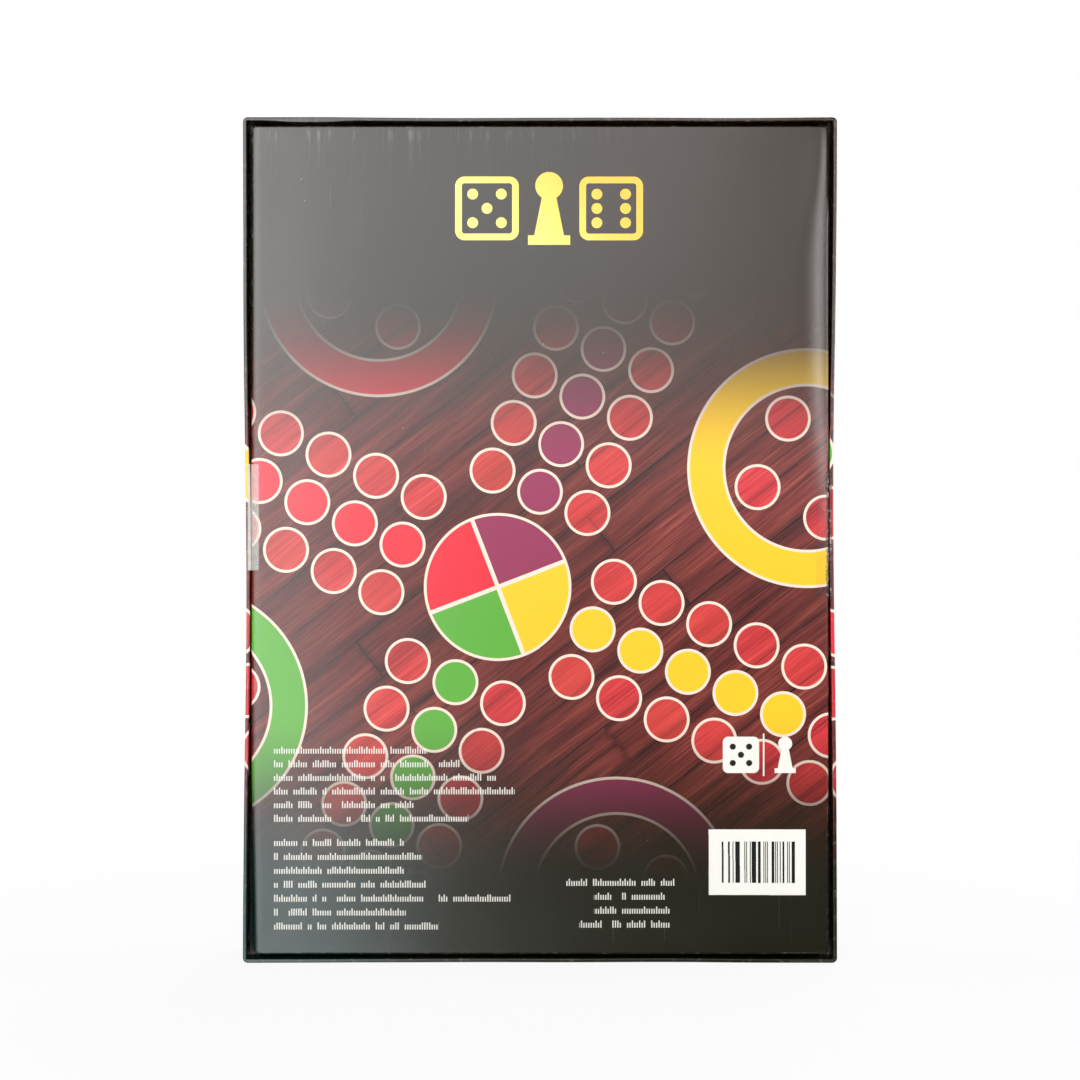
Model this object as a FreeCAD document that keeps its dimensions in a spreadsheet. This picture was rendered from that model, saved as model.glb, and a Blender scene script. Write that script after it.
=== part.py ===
import FreeCAD, Part
import os
import Sketcher

# A board game in its lidded card box, in millimetres.
# The box stands on a short side, as on a shop shelf: +Z is up, the printed back of the tray faces -Y,
# and the lid pulls off along +Y. The origin is on the floor, under the middle of the box.
# Everything is sized outwards from what the box holds: the folded board and the bay of playing pieces
# set the tray, and the tray sets the lid.

SIZES = {
    # Folding board: two laminated halves, print inside when folded
    "board_side": 268.0,
    "board_core_thick": 1.8,
    "board_print_thick": 0.2,
    "board_face_gap": 0.3,
    "board_fold_gap": 0.2,
    "hinge_tape_thick": 0.2,
    "hinge_tape_width": 12.0,
    # Room around the folded board
    "board_left_clear": 0.45,
    "board_bay_clear": 0.5,
    "board_low_clear": 0.4,
    "board_high_clear": 3.0,
    "tape_seat_gap": 0.1,
    # Instruction sheet, flat on top of the board
    "sheet_width": 128.0,
    "sheet_length": 182.0,
    "sheet_thick": 0.25,
    "sheet_tape_gap": 0.3,
    "sheet_lid_gap": 0.35,
    # Playing pegs
    "peg_height": 23.0,
    "peg_base_radius": 6.0,
    "peg_base_thick": 2.4,
    "peg_base_round": 0.7,
    "peg_skirt_radius": 4.6,
    "peg_neck_radius": 2.1,
    "peg_head_radius": 3.6,
    "peg_row_gap": 0.3,
    "peg_head_gap": 1.1,
    # Dice
    "die_size": 14.0,
    "die_edge_round": 1.6,
    "pip_radius": 1.3,
    "pip_depth": 0.6,
    # Card insert: a platform for the board, with a bay beside it
    "insert_card": 0.8,
    "insert_clear": 0.3,
    "platform_height": 28.3,
    "bay_side_clear": 1.3,
    "bay_floor_gap": 0.2,
    "upstand_height": 24.0,
    "notch_radius": 11.0,
    "notch_depth": 14.0,
    # Tray
    "tray_wall": 1.0,
    "tray_panel": 0.8,
    "tray_inside_radius": 0.5,
    "tray_fold_radius": 1.0,
    "tray_recess": 0.4,
    "tray_headroom": 0.3,
    # Lid
    "lid_wall": 1.2,
    "lid_panel": 0.8,
    "lid_gap": 1.6,
    "lid_inside_radius": 0.4,
    "lid_fold_radius": 1.0,
    # Clear seals over the seam, slit along it
    "seal_thick": 0.15,
    "seal_slit": 0.3,
    "seal_wall_reach": 18.0,
    "seal_left_length": 35.0,
    "seal_left_overlap": 2.4,
    "seal_left_height": 147.0,
    "seal_right_length": 42.0,
    "seal_right_overlap": 4.0,
    "seal_right_height": 141.0,
    # Overrun of every cutting solid past the face it opens
    "overrun": 2.0,
}

# Rounding of a card rim, as a share of the card wall it finishes
RIM_ROUND_SHARE = 0.45
# Where the thumb notch lies along the platform
NOTCH_PLACE_SHARE = 0.5
# Most of a peg's foot, outside its skirt, that the rounding of the foot may take up
FOOT_ROUND_SHARE = 0.6

# Places and sizes that follow from the driving dimensions
LAYOUT = {
    "board_stack": "2 * (dims.board_core_thick + dims.board_print_thick) + dims.board_face_gap",
    "panel_width": "(dims.board_side - dims.board_fold_gap) / 2",
    "spine_reach": "layout.board_stack / 2 + dims.hinge_tape_thick",
    "platform_width": "dims.board_left_clear + layout.spine_reach + dims.board_side / 2"
                      " + dims.board_bay_clear",
    "bay_width": "2 * dims.peg_height + dims.peg_head_gap + 2 * dims.bay_side_clear",
    "insert_width": "layout.platform_width + layout.bay_width + dims.insert_card",
    "tray_inner_width": "layout.insert_width + 2 * dims.insert_clear",
    "tray_inner_length": "dims.board_side + dims.board_low_clear + dims.board_high_clear",
    "insert_length": "layout.tray_inner_length - 2 * dims.insert_clear",
    "tray_width": "layout.tray_inner_width + 2 * dims.tray_wall",
    "tray_length": "layout.tray_inner_length + 2 * dims.tray_wall",
    "lid_width": "layout.tray_width + 2 * (dims.lid_gap + dims.lid_wall)",
    "lid_length": "layout.tray_length + 2 * (dims.lid_gap + dims.lid_wall)",
    "board_seat": "dims.tape_seat_gap + dims.hinge_tape_thick",
    "sheet_seat": "dims.hinge_tape_thick + dims.sheet_tape_gap",
    "lid_depth": "dims.tray_recess + dims.tray_panel + dims.platform_height + layout.board_seat"
                 " + layout.board_stack + layout.sheet_seat + dims.sheet_thick + dims.sheet_lid_gap"
                 " + dims.lid_panel",
    "rim_y": "-layout.lid_depth / 2",
    "tray_back_y": "layout.rim_y + dims.tray_recess",
    "floor_y": "layout.tray_back_y + dims.tray_panel",
    "platform_y": "layout.floor_y + dims.platform_height",
    "board_y": "layout.platform_y + layout.board_seat",
    "fold_y": "layout.board_y + layout.board_stack / 2",
    "sheet_y": "layout.board_y + layout.board_stack + layout.sheet_seat",
    "tray_depth": "layout.sheet_y + dims.sheet_thick + dims.sheet_lid_gap - dims.tray_headroom"
                  " - layout.tray_back_y",
    "tray_z": "dims.lid_wall + dims.lid_gap",
    "tray_inner_z": "layout.tray_z + dims.tray_wall",
    "board_z": "layout.tray_inner_z + dims.board_low_clear",
    "insert_z": "layout.tray_inner_z + dims.insert_clear",
    "insert_x": "-layout.insert_width / 2",
    "fold_x": "layout.insert_x + dims.board_left_clear + layout.spine_reach",
    "board_x": "layout.fold_x + dims.board_fold_gap / 2",
    "bay_x": "layout.insert_x + layout.platform_width",
    "bay_right_x": "layout.bay_x + layout.bay_width",
    "piece_floor_y": "layout.floor_y + dims.insert_card + dims.bay_floor_gap",
    "peg_pitch": "2 * dims.peg_base_radius + dims.peg_row_gap",
    "stack_z": "layout.tray_inner_z + dims.peg_row_gap",
}

PEG_COLOURS = ("red", "green", "yellow", "purple")
ROWS_PER_COLOUR = 2
PEGS_PER_ROW = 2

# Pips on a die's faces, by their number, in steps from the middle of the face
PIP_STEP_SHARE = 0.25
PIP_STEPS = {
    1: ((0, 0),),
    2: ((-1, -1), (1, 1)),
    3: ((-1, -1), (0, 0), (1, 1)),
    4: ((-1, -1), (-1, 1), (1, -1), (1, 1)),
    5: ((-1, -1), (-1, 1), (0, 0), (1, -1), (1, 1)),
    6: ((-1, -1), (-1, 0), (-1, 1), (1, -1), (1, 0), (1, 1)),
}

doc = FreeCAD.newDocument("board_game")


def make_sheet():
    """The spreadsheet of driving dimensions, one aliased cell for each."""
    sheet = doc.addObject("Spreadsheet::Sheet", "dims")
    for row, (alias, value) in enumerate(SIZES.items(), start=1):
        sheet.set(f"A{row}", alias)
        sheet.set(f"B{row}", str(value))
        sheet.setAlias(f"B{row}", alias)
    doc.recompute()


def make_layout():
    """The places and sizes that follow, each bound to the sheet."""
    layout = doc.addObject("App::VarSet", "layout")
    for name in LAYOUT:
        layout.addProperty("App::PropertyFloat", name, "Layout")
    for name, expression in LAYOUT.items():
        layout.setExpression(name, expression)
    doc.recompute()
    return layout


def bind(thing, **expressions):
    """Binds properties to expressions; x, y and z are the placement's base."""
    for name, expression in expressions.items():
        path = f".Placement.Base.{name}" if name in ("x", "y", "z") else name
        thing.setExpression(path, expression)
    return thing


def make_box(label, low, size):
    """A plain block from its low corner and its size, all as expressions."""
    block = doc.addObject("Part::Box", label)
    block.Label = label
    bind(block, Length=size[0], Width=size[1], Height=size[2], x=low[0], y=low[1], z=low[2])
    return block


def origin_plane(body, role):
    """One of a body's own origin planes."""
    for feature in body.Origin.OriginFeatures:
        if feature.Role == role:
            return feature
    raise RuntimeError(f"{body.Label} has no {role}")


def make_sketch(body, name, role):
    """A sketch on one of the body's origin planes."""
    sketch = body.newObject("Sketcher::SketchObject", name)
    sketch.AttachmentSupport = [(origin_plane(body, role), "")]
    sketch.MapMode = "FlatFace"
    return sketch


def constrain(sketch, name, expression, *constraint):
    """A named dimension in a sketch, bound to an expression."""
    index = sketch.addConstraint(Sketcher.Constraint(*constraint))
    sketch.renameConstraint(index, name)
    sketch.setExpression(f"Constraints.{name}", expression)


def draw_rectangle(sketch, width, height, low):
    """A rectangle centred on the sketch's upright axis, with its lower side at low."""
    half, top = FreeCAD.Vector(1, 0), FreeCAD.Vector(0, 1)
    corners = [-half, half, half + top, top - half]
    for start, end in zip(corners, corners[1:] + corners[:1]):
        sketch.addGeometry(Part.LineSegment(start, end))
    for side in range(4):
        sketch.addConstraint(Sketcher.Constraint("Coincident", side, 2, (side + 1) % 4, 1))
    sketch.addConstraint(Sketcher.Constraint("Symmetric", 0, 1, 0, 2, -2))
    for side, way in ((1, "Vertical"), (2, "Horizontal"), (3, "Vertical")):
        sketch.addConstraint(Sketcher.Constraint(way, side))
    constrain(sketch, "width", width, "DistanceX", 0, 1, 0, 2, 1.0)
    constrain(sketch, "height", height, "DistanceY", 1, 1, 1, 2, 1.0)
    constrain(sketch, "low", low, "DistanceY", -1, 1, 0, 1, 1.0)


def edge_names(shape, wanted):
    """Names of the edges that a test picks."""
    return [f"Edge{i}" for i, edge in enumerate(shape.Edges, start=1) if wanted(edge)]


def round_edges(body, name, radius, wanted):
    """A fillet on the edges of the body that a test picks."""
    doc.recompute()
    base = body.Tip
    fillet = body.newObject("PartDesign::Fillet", name)
    fillet.Base = (base, edge_names(base.Shape, wanted))
    fillet.setExpression("Radius", radius)
    body.Tip = fillet
    doc.recompute()


def make_shell(label, width, length, depth, low_z, panel_y, opens):
    """An open-sided card box: a panel with four walls, folded double at the rim.

    panel_y is the outer face of its panel, and opens is the way its mouth faces along Y, 1 or -1.
    """
    piece = label.removesuffix("_shell")
    wall, panel = f"dims.{piece}_wall", f"dims.{piece}_panel"
    inside, fold = f"dims.{piece}_inside_radius", f"dims.{piece}_fold_radius"
    body = doc.addObject("PartDesign::Body", label)
    body.Label = label
    outline = make_sketch(body, f"{label}_outline", "XZ_Plane")
    draw_rectangle(outline, width, length, low_z)
    block = body.newObject("PartDesign::Pad", f"{label}_block")
    block.Profile = outline
    block.Reversed = opens > 0
    block.setExpression("Length", depth)
    outline.setExpression(".AttachmentOffset.Base.z", f"-({panel_y})")
    doc.recompute()

    tolerance = Part.Precision.confusion()
    panel_place = -outline.AttachmentOffset.Base.z
    rim_place = panel_place + opens * block.Length.Value

    def on_plane(edge, place):
        box = edge.BoundBox
        return abs(box.YMin - place) < tolerance and abs(box.YMax - place) < tolerance

    def is_corner(edge):
        return edge.BoundBox.YLength > block.Length.Value - tolerance

    round_edges(body, f"{label}_corners", f"{inside} + {wall}", is_corner)
    round_edges(body, f"{label}_folds", fold, lambda edge: on_plane(edge, panel_place))

    hollow = make_sketch(body, f"{label}_hollow_outline", "XZ_Plane")
    draw_rectangle(hollow, f"{width} - 2 * {wall}", f"{length} - 2 * {wall}", f"{low_z} + {wall}")
    hollow.setExpression(".AttachmentOffset.Base.z", f"-({panel_y} + {opens} * {depth})")
    pocket = body.newObject("PartDesign::Pocket", f"{label}_hollow")
    pocket.Profile = hollow
    pocket.Reversed = opens > 0
    pocket.setExpression("Length", f"{depth} - {panel}")
    body.Tip = pocket

    def is_inner_corner(edge):
        box = edge.BoundBox
        upright = max(box.XLength, box.ZLength) < tolerance
        corners = [(v.X, v.Z) for v in hollow.Shape.Vertexes]
        return upright and any(max(abs(box.XMin - x), abs(box.ZMin - z)) < tolerance for x, z in corners)

    round_edges(body, f"{label}_inner_corners", inside, is_inner_corner)
    round_edges(body, f"{label}_rim", f"{RIM_ROUND_SHARE} * {wall}", lambda edge: on_plane(edge, rim_place))
    return body


def make_insert():
    """The folded card platform, with its bay for the playing pieces and a thumb notch."""
    card = "dims.insert_card"
    plates = {
        "left_leg": (("layout.insert_x", "layout.floor_y"), (card, "dims.platform_height")),
        "deck": (("layout.insert_x", f"layout.platform_y - {card}"), ("layout.platform_width", card)),
        "bay_wall": ((f"layout.bay_x - {card}", "layout.floor_y"), (card, "dims.platform_height")),
        "bay_floor": ((f"layout.bay_x - {card}", "layout.floor_y"), (f"layout.bay_width + 2 * {card}", card)),
        "upstand": (("layout.bay_right_x", "layout.floor_y"), (card, "dims.upstand_height")),
    }
    folded = doc.addObject("Part::MultiFuse", "insert_folded")
    folded.Shapes = [
        make_box(f"insert_{name}", (*low, "layout.insert_z"), (*size, "layout.insert_length"))
        for name, (low, size) in plates.items()
    ]
    folded.Refine = True
    notch = doc.addObject("Part::Cylinder", "insert_notch")
    notch.Placement.Rotation = FreeCAD.Rotation(FreeCAD.Vector(1, 0, 0), -90)
    bind(
        notch,
        Radius="dims.notch_radius",
        Height="dims.notch_depth + dims.overrun",
        x="layout.bay_x",
        y="layout.platform_y - dims.notch_depth",
        z=f"layout.insert_z + {NOTCH_PLACE_SHARE} * layout.insert_length",
    )
    insert = doc.addObject("Part::Cut", "insert_platform")
    insert.Label = "insert_platform"
    insert.Base = folded
    insert.Tool = notch
    insert.Refine = True
    return [insert]


def make_board():
    """Both halves of the folded board, each a core with its printed face, the faces turned inwards."""
    core, face = "dims.board_core_thick", "dims.board_print_thick"
    lower = "layout.board_y"
    upper = f"{lower} + {core} + 2 * {face} + dims.board_face_gap"
    layers = {
        "board_core_base": (lower, core),
        "board_print_base": (f"{lower} + {core}", face),
        "board_print_leaf": (f"{upper} - {face}", face),
        "board_core_leaf": (upper, core),
    }
    return [
        make_box(
            label,
            ("layout.board_x", y, "layout.board_z"),
            ("layout.panel_width", thick, "dims.board_side"),
        )
        for label, (y, thick) in layers.items()
    ]


def make_hinge_tape():
    """The cloth tape round the spine: a half-round web on the fold's axis and a flange on each outer face."""

    def rounded_bar(name, radius, reach):
        bar = doc.addObject("Part::Fuse", f"hinge_{name}")
        web = doc.addObject("Part::Cylinder", f"hinge_{name}_web")
        bind(web, Radius=radius, Height="dims.board_side")
        bind(web, x="layout.fold_x", y="layout.fold_y", z="layout.board_z")
        bar.Base = web
        bar.Tool = make_box(
            f"hinge_{name}_flanges",
            ("layout.fold_x", f"layout.fold_y - {radius}", "layout.board_z"),
            (reach, f"2 * {radius}", "dims.board_side"),
        )
        bar.Refine = True
        return bar

    tape = doc.addObject("Part::Cut", "board_hinge_tape")
    tape.Label = "board_hinge_tape"
    tape.Base = rounded_bar("outside", "layout.spine_reach", "dims.hinge_tape_width")
    tape.Tool = rounded_bar("inside", "layout.board_stack / 2", "dims.hinge_tape_width + dims.overrun")
    tape.Refine = True
    return [tape]


def make_instruction_sheet():
    """One flat printed sheet on top of the folded board."""
    return [
        make_box(
            "instruction_sheet",
            ("layout.board_x", "layout.sheet_y", "layout.board_z"),
            ("dims.sheet_width", "dims.sheet_thick", "dims.sheet_length"),
        )
    ]


def make_peg(label, row, column):
    """One playing peg, a foot, a tapering skirt and a ball head, lying with its head towards the middle."""
    body = doc.addObject("PartDesign::Body", label)
    body.Label = label
    foot = body.newObject("PartDesign::AdditiveCylinder", f"{label}_foot")
    bind(foot, Radius="dims.peg_base_radius", Height="dims.peg_base_thick")
    ledge = "(dims.peg_base_radius - dims.peg_skirt_radius)"
    foot_round = f"min(dims.peg_base_round; {FOOT_ROUND_SHARE} * {ledge})"
    round_edges(body, f"{label}_foot_round", foot_round, lambda edge: isinstance(edge.Curve, Part.Circle))

    # The skirt tapers all the way to the middle of the head
    head_middle = "dims.peg_height - dims.peg_head_radius"
    skirt = body.newObject("PartDesign::AdditiveCone", f"{label}_skirt")
    bind(
        skirt,
        Radius1="dims.peg_skirt_radius",
        Radius2="dims.peg_neck_radius",
        Height=f"{head_middle} - dims.peg_base_thick",
    )
    head = body.newObject("PartDesign::AdditiveSphere", f"{label}_head")
    bind(head, Radius="dims.peg_head_radius")
    for feature, height in ((skirt, "dims.peg_base_thick"), (head, head_middle)):
        feature.AttachmentSupport = [(origin_plane(body, "XY_Plane"), "")]
        feature.MapMode = "FlatFace"
        feature.setExpression(".AttachmentOffset.Base.z", height)
    body.Tip = head

    across = FreeCAD.Vector(0, 1, 0)
    body.Placement.Rotation = FreeCAD.Rotation(across, 90 if column == 0 else -90)
    foot_x = ("layout.bay_x + dims.bay_side_clear", "layout.bay_right_x - dims.bay_side_clear")[column]
    bind(
        body,
        x=foot_x,
        y="layout.piece_floor_y + dims.peg_base_radius",
        z=f"layout.stack_z + dims.peg_base_radius + {row} * layout.peg_pitch",
    )
    return body


def make_pegs():
    """Four pegs of each colour, stacked in rows of two from the low end of the bay."""
    pegs = []
    for index, colour in enumerate(PEG_COLOURS):
        for count in range(ROWS_PER_COLOUR * PEGS_PER_ROW):
            row, column = divmod(count, PEGS_PER_ROW)
            pegs.append(make_peg(f"peg_{colour}_{count + 1}", index * ROWS_PER_COLOUR + row, column))
    return pegs


def pip_spots():
    """The direction of each face of a die and the pips on it, opposite faces adding up to seven."""
    x, y, z = FreeCAD.Vector(1, 0, 0), FreeCAD.Vector(0, 1, 0), FreeCAD.Vector(0, 0, 1)
    faces = ((y, 1), (x, 2), (z, 3), (-z, 4), (-x, 5), (-y, 6))
    for normal, count in faces:
        across = FreeCAD.Vector(abs(normal.y), abs(normal.z), abs(normal.x))
        along = FreeCAD.Vector(abs(normal.z), abs(normal.x), abs(normal.y))
        for first, second in PIP_STEPS[count]:
            yield normal, first * across + second * along


def make_die(label, low_x):
    """A die with rounded edges and a shallow dimple for each pip, lying on the top row of pegs."""
    top_row = len(PEG_COLOURS) * ROWS_PER_COLOUR
    low = (low_x, "layout.piece_floor_y", f"layout.stack_z + {top_row} * layout.peg_pitch")
    cube = doc.addObject("PartDesign::Body", f"{label}_cube")
    outline = make_sketch(cube, f"{label}_outline", "XZ_Plane")
    draw_rectangle(outline, "dims.die_size", "dims.die_size", "0")
    block = cube.newObject("PartDesign::Pad", f"{label}_block")
    block.Profile = outline
    block.Reversed = True
    block.setExpression("Length", "dims.die_size")
    round_edges(cube, f"{label}_rounded", "dims.die_edge_round", lambda edge: True)
    bind(cube, x=f"{low[0]} + 0.5 * dims.die_size", y=low[1], z=low[2])

    # A dimple is the cap of a ball, as wide as the pip and as deep as the pip is cut
    ball = "(dims.pip_radius ^ 2 + dims.pip_depth ^ 2) / (2 * dims.pip_depth)"
    ball_reach = f"(0.5 * dims.die_size - dims.pip_depth + {ball})"
    dimples = []
    for index, (normal, spot) in enumerate(pip_spots()):
        dimple = doc.addObject("Part::Sphere", f"{label}_dimple_{index}")
        places = {
            axis: f"{corner} + 0.5 * dims.die_size + {ball_reach} * {getattr(normal, axis)}"
            f" + {PIP_STEP_SHARE * getattr(spot, axis)} * dims.die_size"
            for axis, corner in zip("xyz", low)
        }
        dimples.append(bind(dimple, Radius=ball, **places))
    pips = doc.addObject("Part::MultiFuse", f"{label}_pips")
    pips.Shapes = dimples
    die = doc.addObject("Part::Cut", label)
    die.Label = label
    die.Base = cube
    die.Tool = pips
    return die


def make_dice():
    """Two dice, one over each column of pegs."""
    return [
        make_die("die_left", "layout.bay_x + dims.bay_side_clear"),
        make_die("die_right", "layout.bay_right_x - dims.bay_side_clear - dims.die_size"),
    ]


def make_seal(side, sign):
    """A clear film seal over the seam, slit along it into a lid half and a tray half.

    sign is -1 on the left of the box and 1 on its right.
    """
    film, slit = "dims.seal_thick", "dims.seal_slit"
    length, overlap = f"dims.seal_{side}_length", f"dims.seal_{side}_overlap"
    low_z = f"dims.seal_{side}_height - {length} / 2"
    lid_x, tray_x = "layout.lid_width / 2", "layout.tray_width / 2"
    rim_reach = f"(dims.lid_wall + (dims.lid_gap - {slit}) / 2)"
    tray_reach = f"({overlap} + (dims.lid_gap - {slit}) / 2)"

    def strip(name, inner, width, y, depth):
        low_x = inner if sign > 0 else f"-({inner}) - {width}"
        return make_box(name, (low_x, y, low_z), (width, depth, length))

    lid_half = doc.addObject("Part::Fuse", f"seal_{side}_lid_half")
    lid_half.Label = f"seal_{side}_lid_half"
    film_y = f"layout.rim_y - {film}"
    lid_half.Base = strip(f"seal_{side}_wall_flap", lid_x, film, film_y, f"dims.seal_wall_reach + {film}")
    lid_half.Tool = strip(f"seal_{side}_rim_flap", f"{lid_x} - {rim_reach}", rim_reach, film_y, film)
    lid_half.Refine = True
    tray_half = strip(
        f"seal_{side}_tray_half", f"{tray_x} - {overlap}", tray_reach, f"layout.tray_back_y - {film}", film
    )
    return [lid_half, tray_half]


def make_tray():
    """The tray, open towards the lid; its panel is the printed back of the box."""
    return [
        make_shell(
            "tray_shell", "layout.tray_width", "layout.tray_length", "layout.tray_depth", "layout.tray_z",
            "layout.tray_back_y", 1,
        )
    ]


def make_lid():
    """The full-depth lid, its rim level with the back of the tray."""
    return [
        make_shell(
            "lid_shell", "layout.lid_width", "layout.lid_length", "layout.lid_depth", "0",
            "layout.lid_depth / 2", -1,
        )
    ]


def check_and_write(nodes):
    """Stops on anything that failed, then writes each sub-part to its own file."""
    doc.recompute()
    failed = [o.Name for o in doc.Objects if {"Invalid", "Error"} & set(o.State)]
    failed += [n.Label for n in nodes if n.Shape.isNull() or not n.Shape.isValid()]
    if failed:
        raise RuntimeError(f"failed: {failed}")
    os.makedirs("parts", exist_ok=True)
    for node in nodes:
        node.Shape.exportStep(f"parts/{node.Label}.step")
        box = node.Shape.BoundBox
        print(
            f"{node.Label}: {len(node.Shape.Solids)} solid, {node.Shape.Volume:.1f} mm3,"
            f" {box.XMin:.2f}..{box.XMax:.2f}, {box.YMin:.2f}..{box.YMax:.2f}, {box.ZMin:.2f}..{box.ZMax:.2f}"
        )


make_sheet()
layout = make_layout()
check_and_write(
    make_lid()
    + make_tray()
    + make_seal("left", -1)
    + make_seal("right", 1)
    + make_insert()
    + make_board()
    + make_hinge_tape()
    + make_instruction_sheet()
    + make_pegs()
    + make_dice()
)
print({name: round(getattr(layout, name), 4) for name in LAYOUT})
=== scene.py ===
import math
import random

import bmesh
import bpy
import numpy as np
from mathutils import Matrix, Vector, noise


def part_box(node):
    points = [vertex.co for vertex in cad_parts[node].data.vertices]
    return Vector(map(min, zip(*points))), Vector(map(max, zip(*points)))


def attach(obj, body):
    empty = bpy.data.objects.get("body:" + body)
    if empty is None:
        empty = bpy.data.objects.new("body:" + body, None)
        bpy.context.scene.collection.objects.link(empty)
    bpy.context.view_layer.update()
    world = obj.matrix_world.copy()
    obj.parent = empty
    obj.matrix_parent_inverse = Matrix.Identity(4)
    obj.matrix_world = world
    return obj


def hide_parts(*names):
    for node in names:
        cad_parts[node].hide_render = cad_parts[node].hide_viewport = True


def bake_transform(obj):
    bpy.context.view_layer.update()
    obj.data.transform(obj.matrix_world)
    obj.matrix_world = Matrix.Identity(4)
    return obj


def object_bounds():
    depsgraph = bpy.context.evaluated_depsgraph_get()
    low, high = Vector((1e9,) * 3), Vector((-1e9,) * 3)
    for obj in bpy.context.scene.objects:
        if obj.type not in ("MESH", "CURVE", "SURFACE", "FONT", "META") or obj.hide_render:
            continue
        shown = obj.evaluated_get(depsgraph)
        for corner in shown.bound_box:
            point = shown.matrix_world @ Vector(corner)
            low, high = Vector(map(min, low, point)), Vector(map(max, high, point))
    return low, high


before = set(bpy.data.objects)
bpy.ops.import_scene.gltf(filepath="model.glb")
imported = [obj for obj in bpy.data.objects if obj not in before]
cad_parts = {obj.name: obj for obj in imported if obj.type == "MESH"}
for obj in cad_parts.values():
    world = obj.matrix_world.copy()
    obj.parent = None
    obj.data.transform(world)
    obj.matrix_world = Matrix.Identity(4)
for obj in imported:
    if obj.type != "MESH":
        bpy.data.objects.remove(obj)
cad_low, cad_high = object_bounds()

# Tray
# The bottom half of the box, whose panel is the printed back. Grey board is folded up into four walls and
# wrapped in printed paper under a gloss film, which turns in over the rim; inside it is lined with paper.
MM = 0.001
ARC_STEPS = 4
EDGE_CROWD = 0.8
LEAST_CORNER = 0.2
WELD = 0.002
SHARP_ANGLE = math.radians(38)

TRAY_WALL = 1.0
TRAY_PANEL = 0.8
TRAY_FOLD, TRAY_RIM = 0.5, 0.3
TRAY_CORNER = 1.5
TRAY_WALL_STEPS = 9
TRAY_PANEL_STEPS = (60, 64)
WRAP_TURN_IN, WRAP_TAB = 14.0, 16.0
PANEL_SLOPE, PANEL_DROP, PANEL_RIPPLE = 5.0, 0.1, 0.12
LEFT_SLOPE, LEFT_DROP = 2.6, 0.16
KNOCK_REACH, KNOCK_DEPTH, KNOCK_TOP = 6.0, 0.95, 70.0
SPRUNG_WIDE, SPRUNG_NARROW, SPRUNG_TILT = 10.5, 3.4, 0.11
SPRUNG_FOOT, SPRUNG_HEAD = (128.0, 190.0), (230.0, 270.0)
SPRUNG_WANDER, WANDER_LENGTH = 0.1, 11.0
RIPPLE_LENGTHS = (46.0, 60.0)

SOFT = 0.14
STEP = 17.2
RING = 0.9
SPACE_SHARE, HOME_SHARE = 0.44, 1.42
YARD_SHARE, YARD_INNER_SHARE, YARD_PLACE_SHARE, YARD_SPACE_PLACE_SHARE = 2.3, 1.62, 4.5, 0.72
TICK_PITCH, TICK_WIDTH, TICK_HEIGHT = 0.8, 0.4, 1.6
WORD_GAP_SHARE, TALL_TICK_SHARE = 0.17, 0.7
ARM_HALF, ARM_END, HOME_RUN_END = 1.5, 7.5, 6.5
PLANK_WIDTH, PLANK_LENGTH, PLANK_TILT = 14.5, 170.0, 62.0
SWAY_LENGTH, SWAY = 40.0, 2.4
FIBRE_LENGTH, FIBRE_WIDTH = 22.0, 0.55
FIGURE_LENGTH, FIGURE_WIDTH = 80.0, 4.2
OPEN_SEAM_LENGTH = 14.0
PIP_SHARE, PIP_PLACE_SHARE, DIE_CORNER_SHARE = 0.17, 0.45, 0.3


def place_of(node):
    """A node's lowest and highest corners, in millimetres."""
    low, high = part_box(node)
    return np.array(low) / MM, np.array(high) / MM


def ink(red, green, blue):
    """A colour as a screen shows it, 0 to 255, in the linear values that a shader takes."""
    shares = (red / 255, green / 255, blue / 255)
    linear = [s / 12.92 if s <= 0.04045 else ((s + 0.055) / 1.055) ** 2.4 for s in shares]
    return (*linear, 1.0)


def math_method(operation, turned=False):
    """A method that adds one Math node for a field, its values turned round for a reflected sum."""
    def method(field, *others):
        values = (field, *others)
        return field.math(operation, *(values[::-1] if turned else values))
    return method


class Field:
    """A value that changes over a surface. A sum on it adds the nodes that work it out."""

    def __init__(self, finish, socket):
        self.finish = finish
        self.socket = socket

    def math(self, operation, *values):
        return self.finish.add("ShaderNodeMath", {"operation": operation}, dict(enumerate(values)))

    __add__, __radd__ = math_method("ADD"), math_method("ADD", turned=True)
    __sub__, __rsub__ = math_method("SUBTRACT"), math_method("SUBTRACT", turned=True)
    __mul__, __rmul__ = math_method("MULTIPLY"), math_method("MULTIPLY", turned=True)
    __truediv__, __mod__ = math_method("DIVIDE"), math_method("FLOORED_MODULO")
    __gt__, __lt__ = math_method("GREATER_THAN"), math_method("LESS_THAN")
    __abs__, __floor__, __round__ = math_method("ABSOLUTE"), math_method("FLOOR"), math_method("ROUND")
    sign, most, least = math_method("SIGN"), math_method("MAXIMUM"), math_method("MINIMUM")

    def reach(self, other):
        """The length of the slope whose two sides are these."""
        return self.math("SQRT", self * self + other * other)

    def rise(self, low, high):
        """Climbs smoothly from 0 at low to 1 at high."""
        sockets = {"Value": self, "From Min": low, "From Max": high}
        return self.finish.add("ShaderNodeMapRange", {"interpolation_type": "SMOOTHSTEP"}, sockets)

    def under(self, edge):
        """1 below the edge and 0 above it, with the narrow soft step of a printed line."""
        return 1 - self.rise(edge - SOFT / 2, edge + SOFT / 2)


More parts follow.
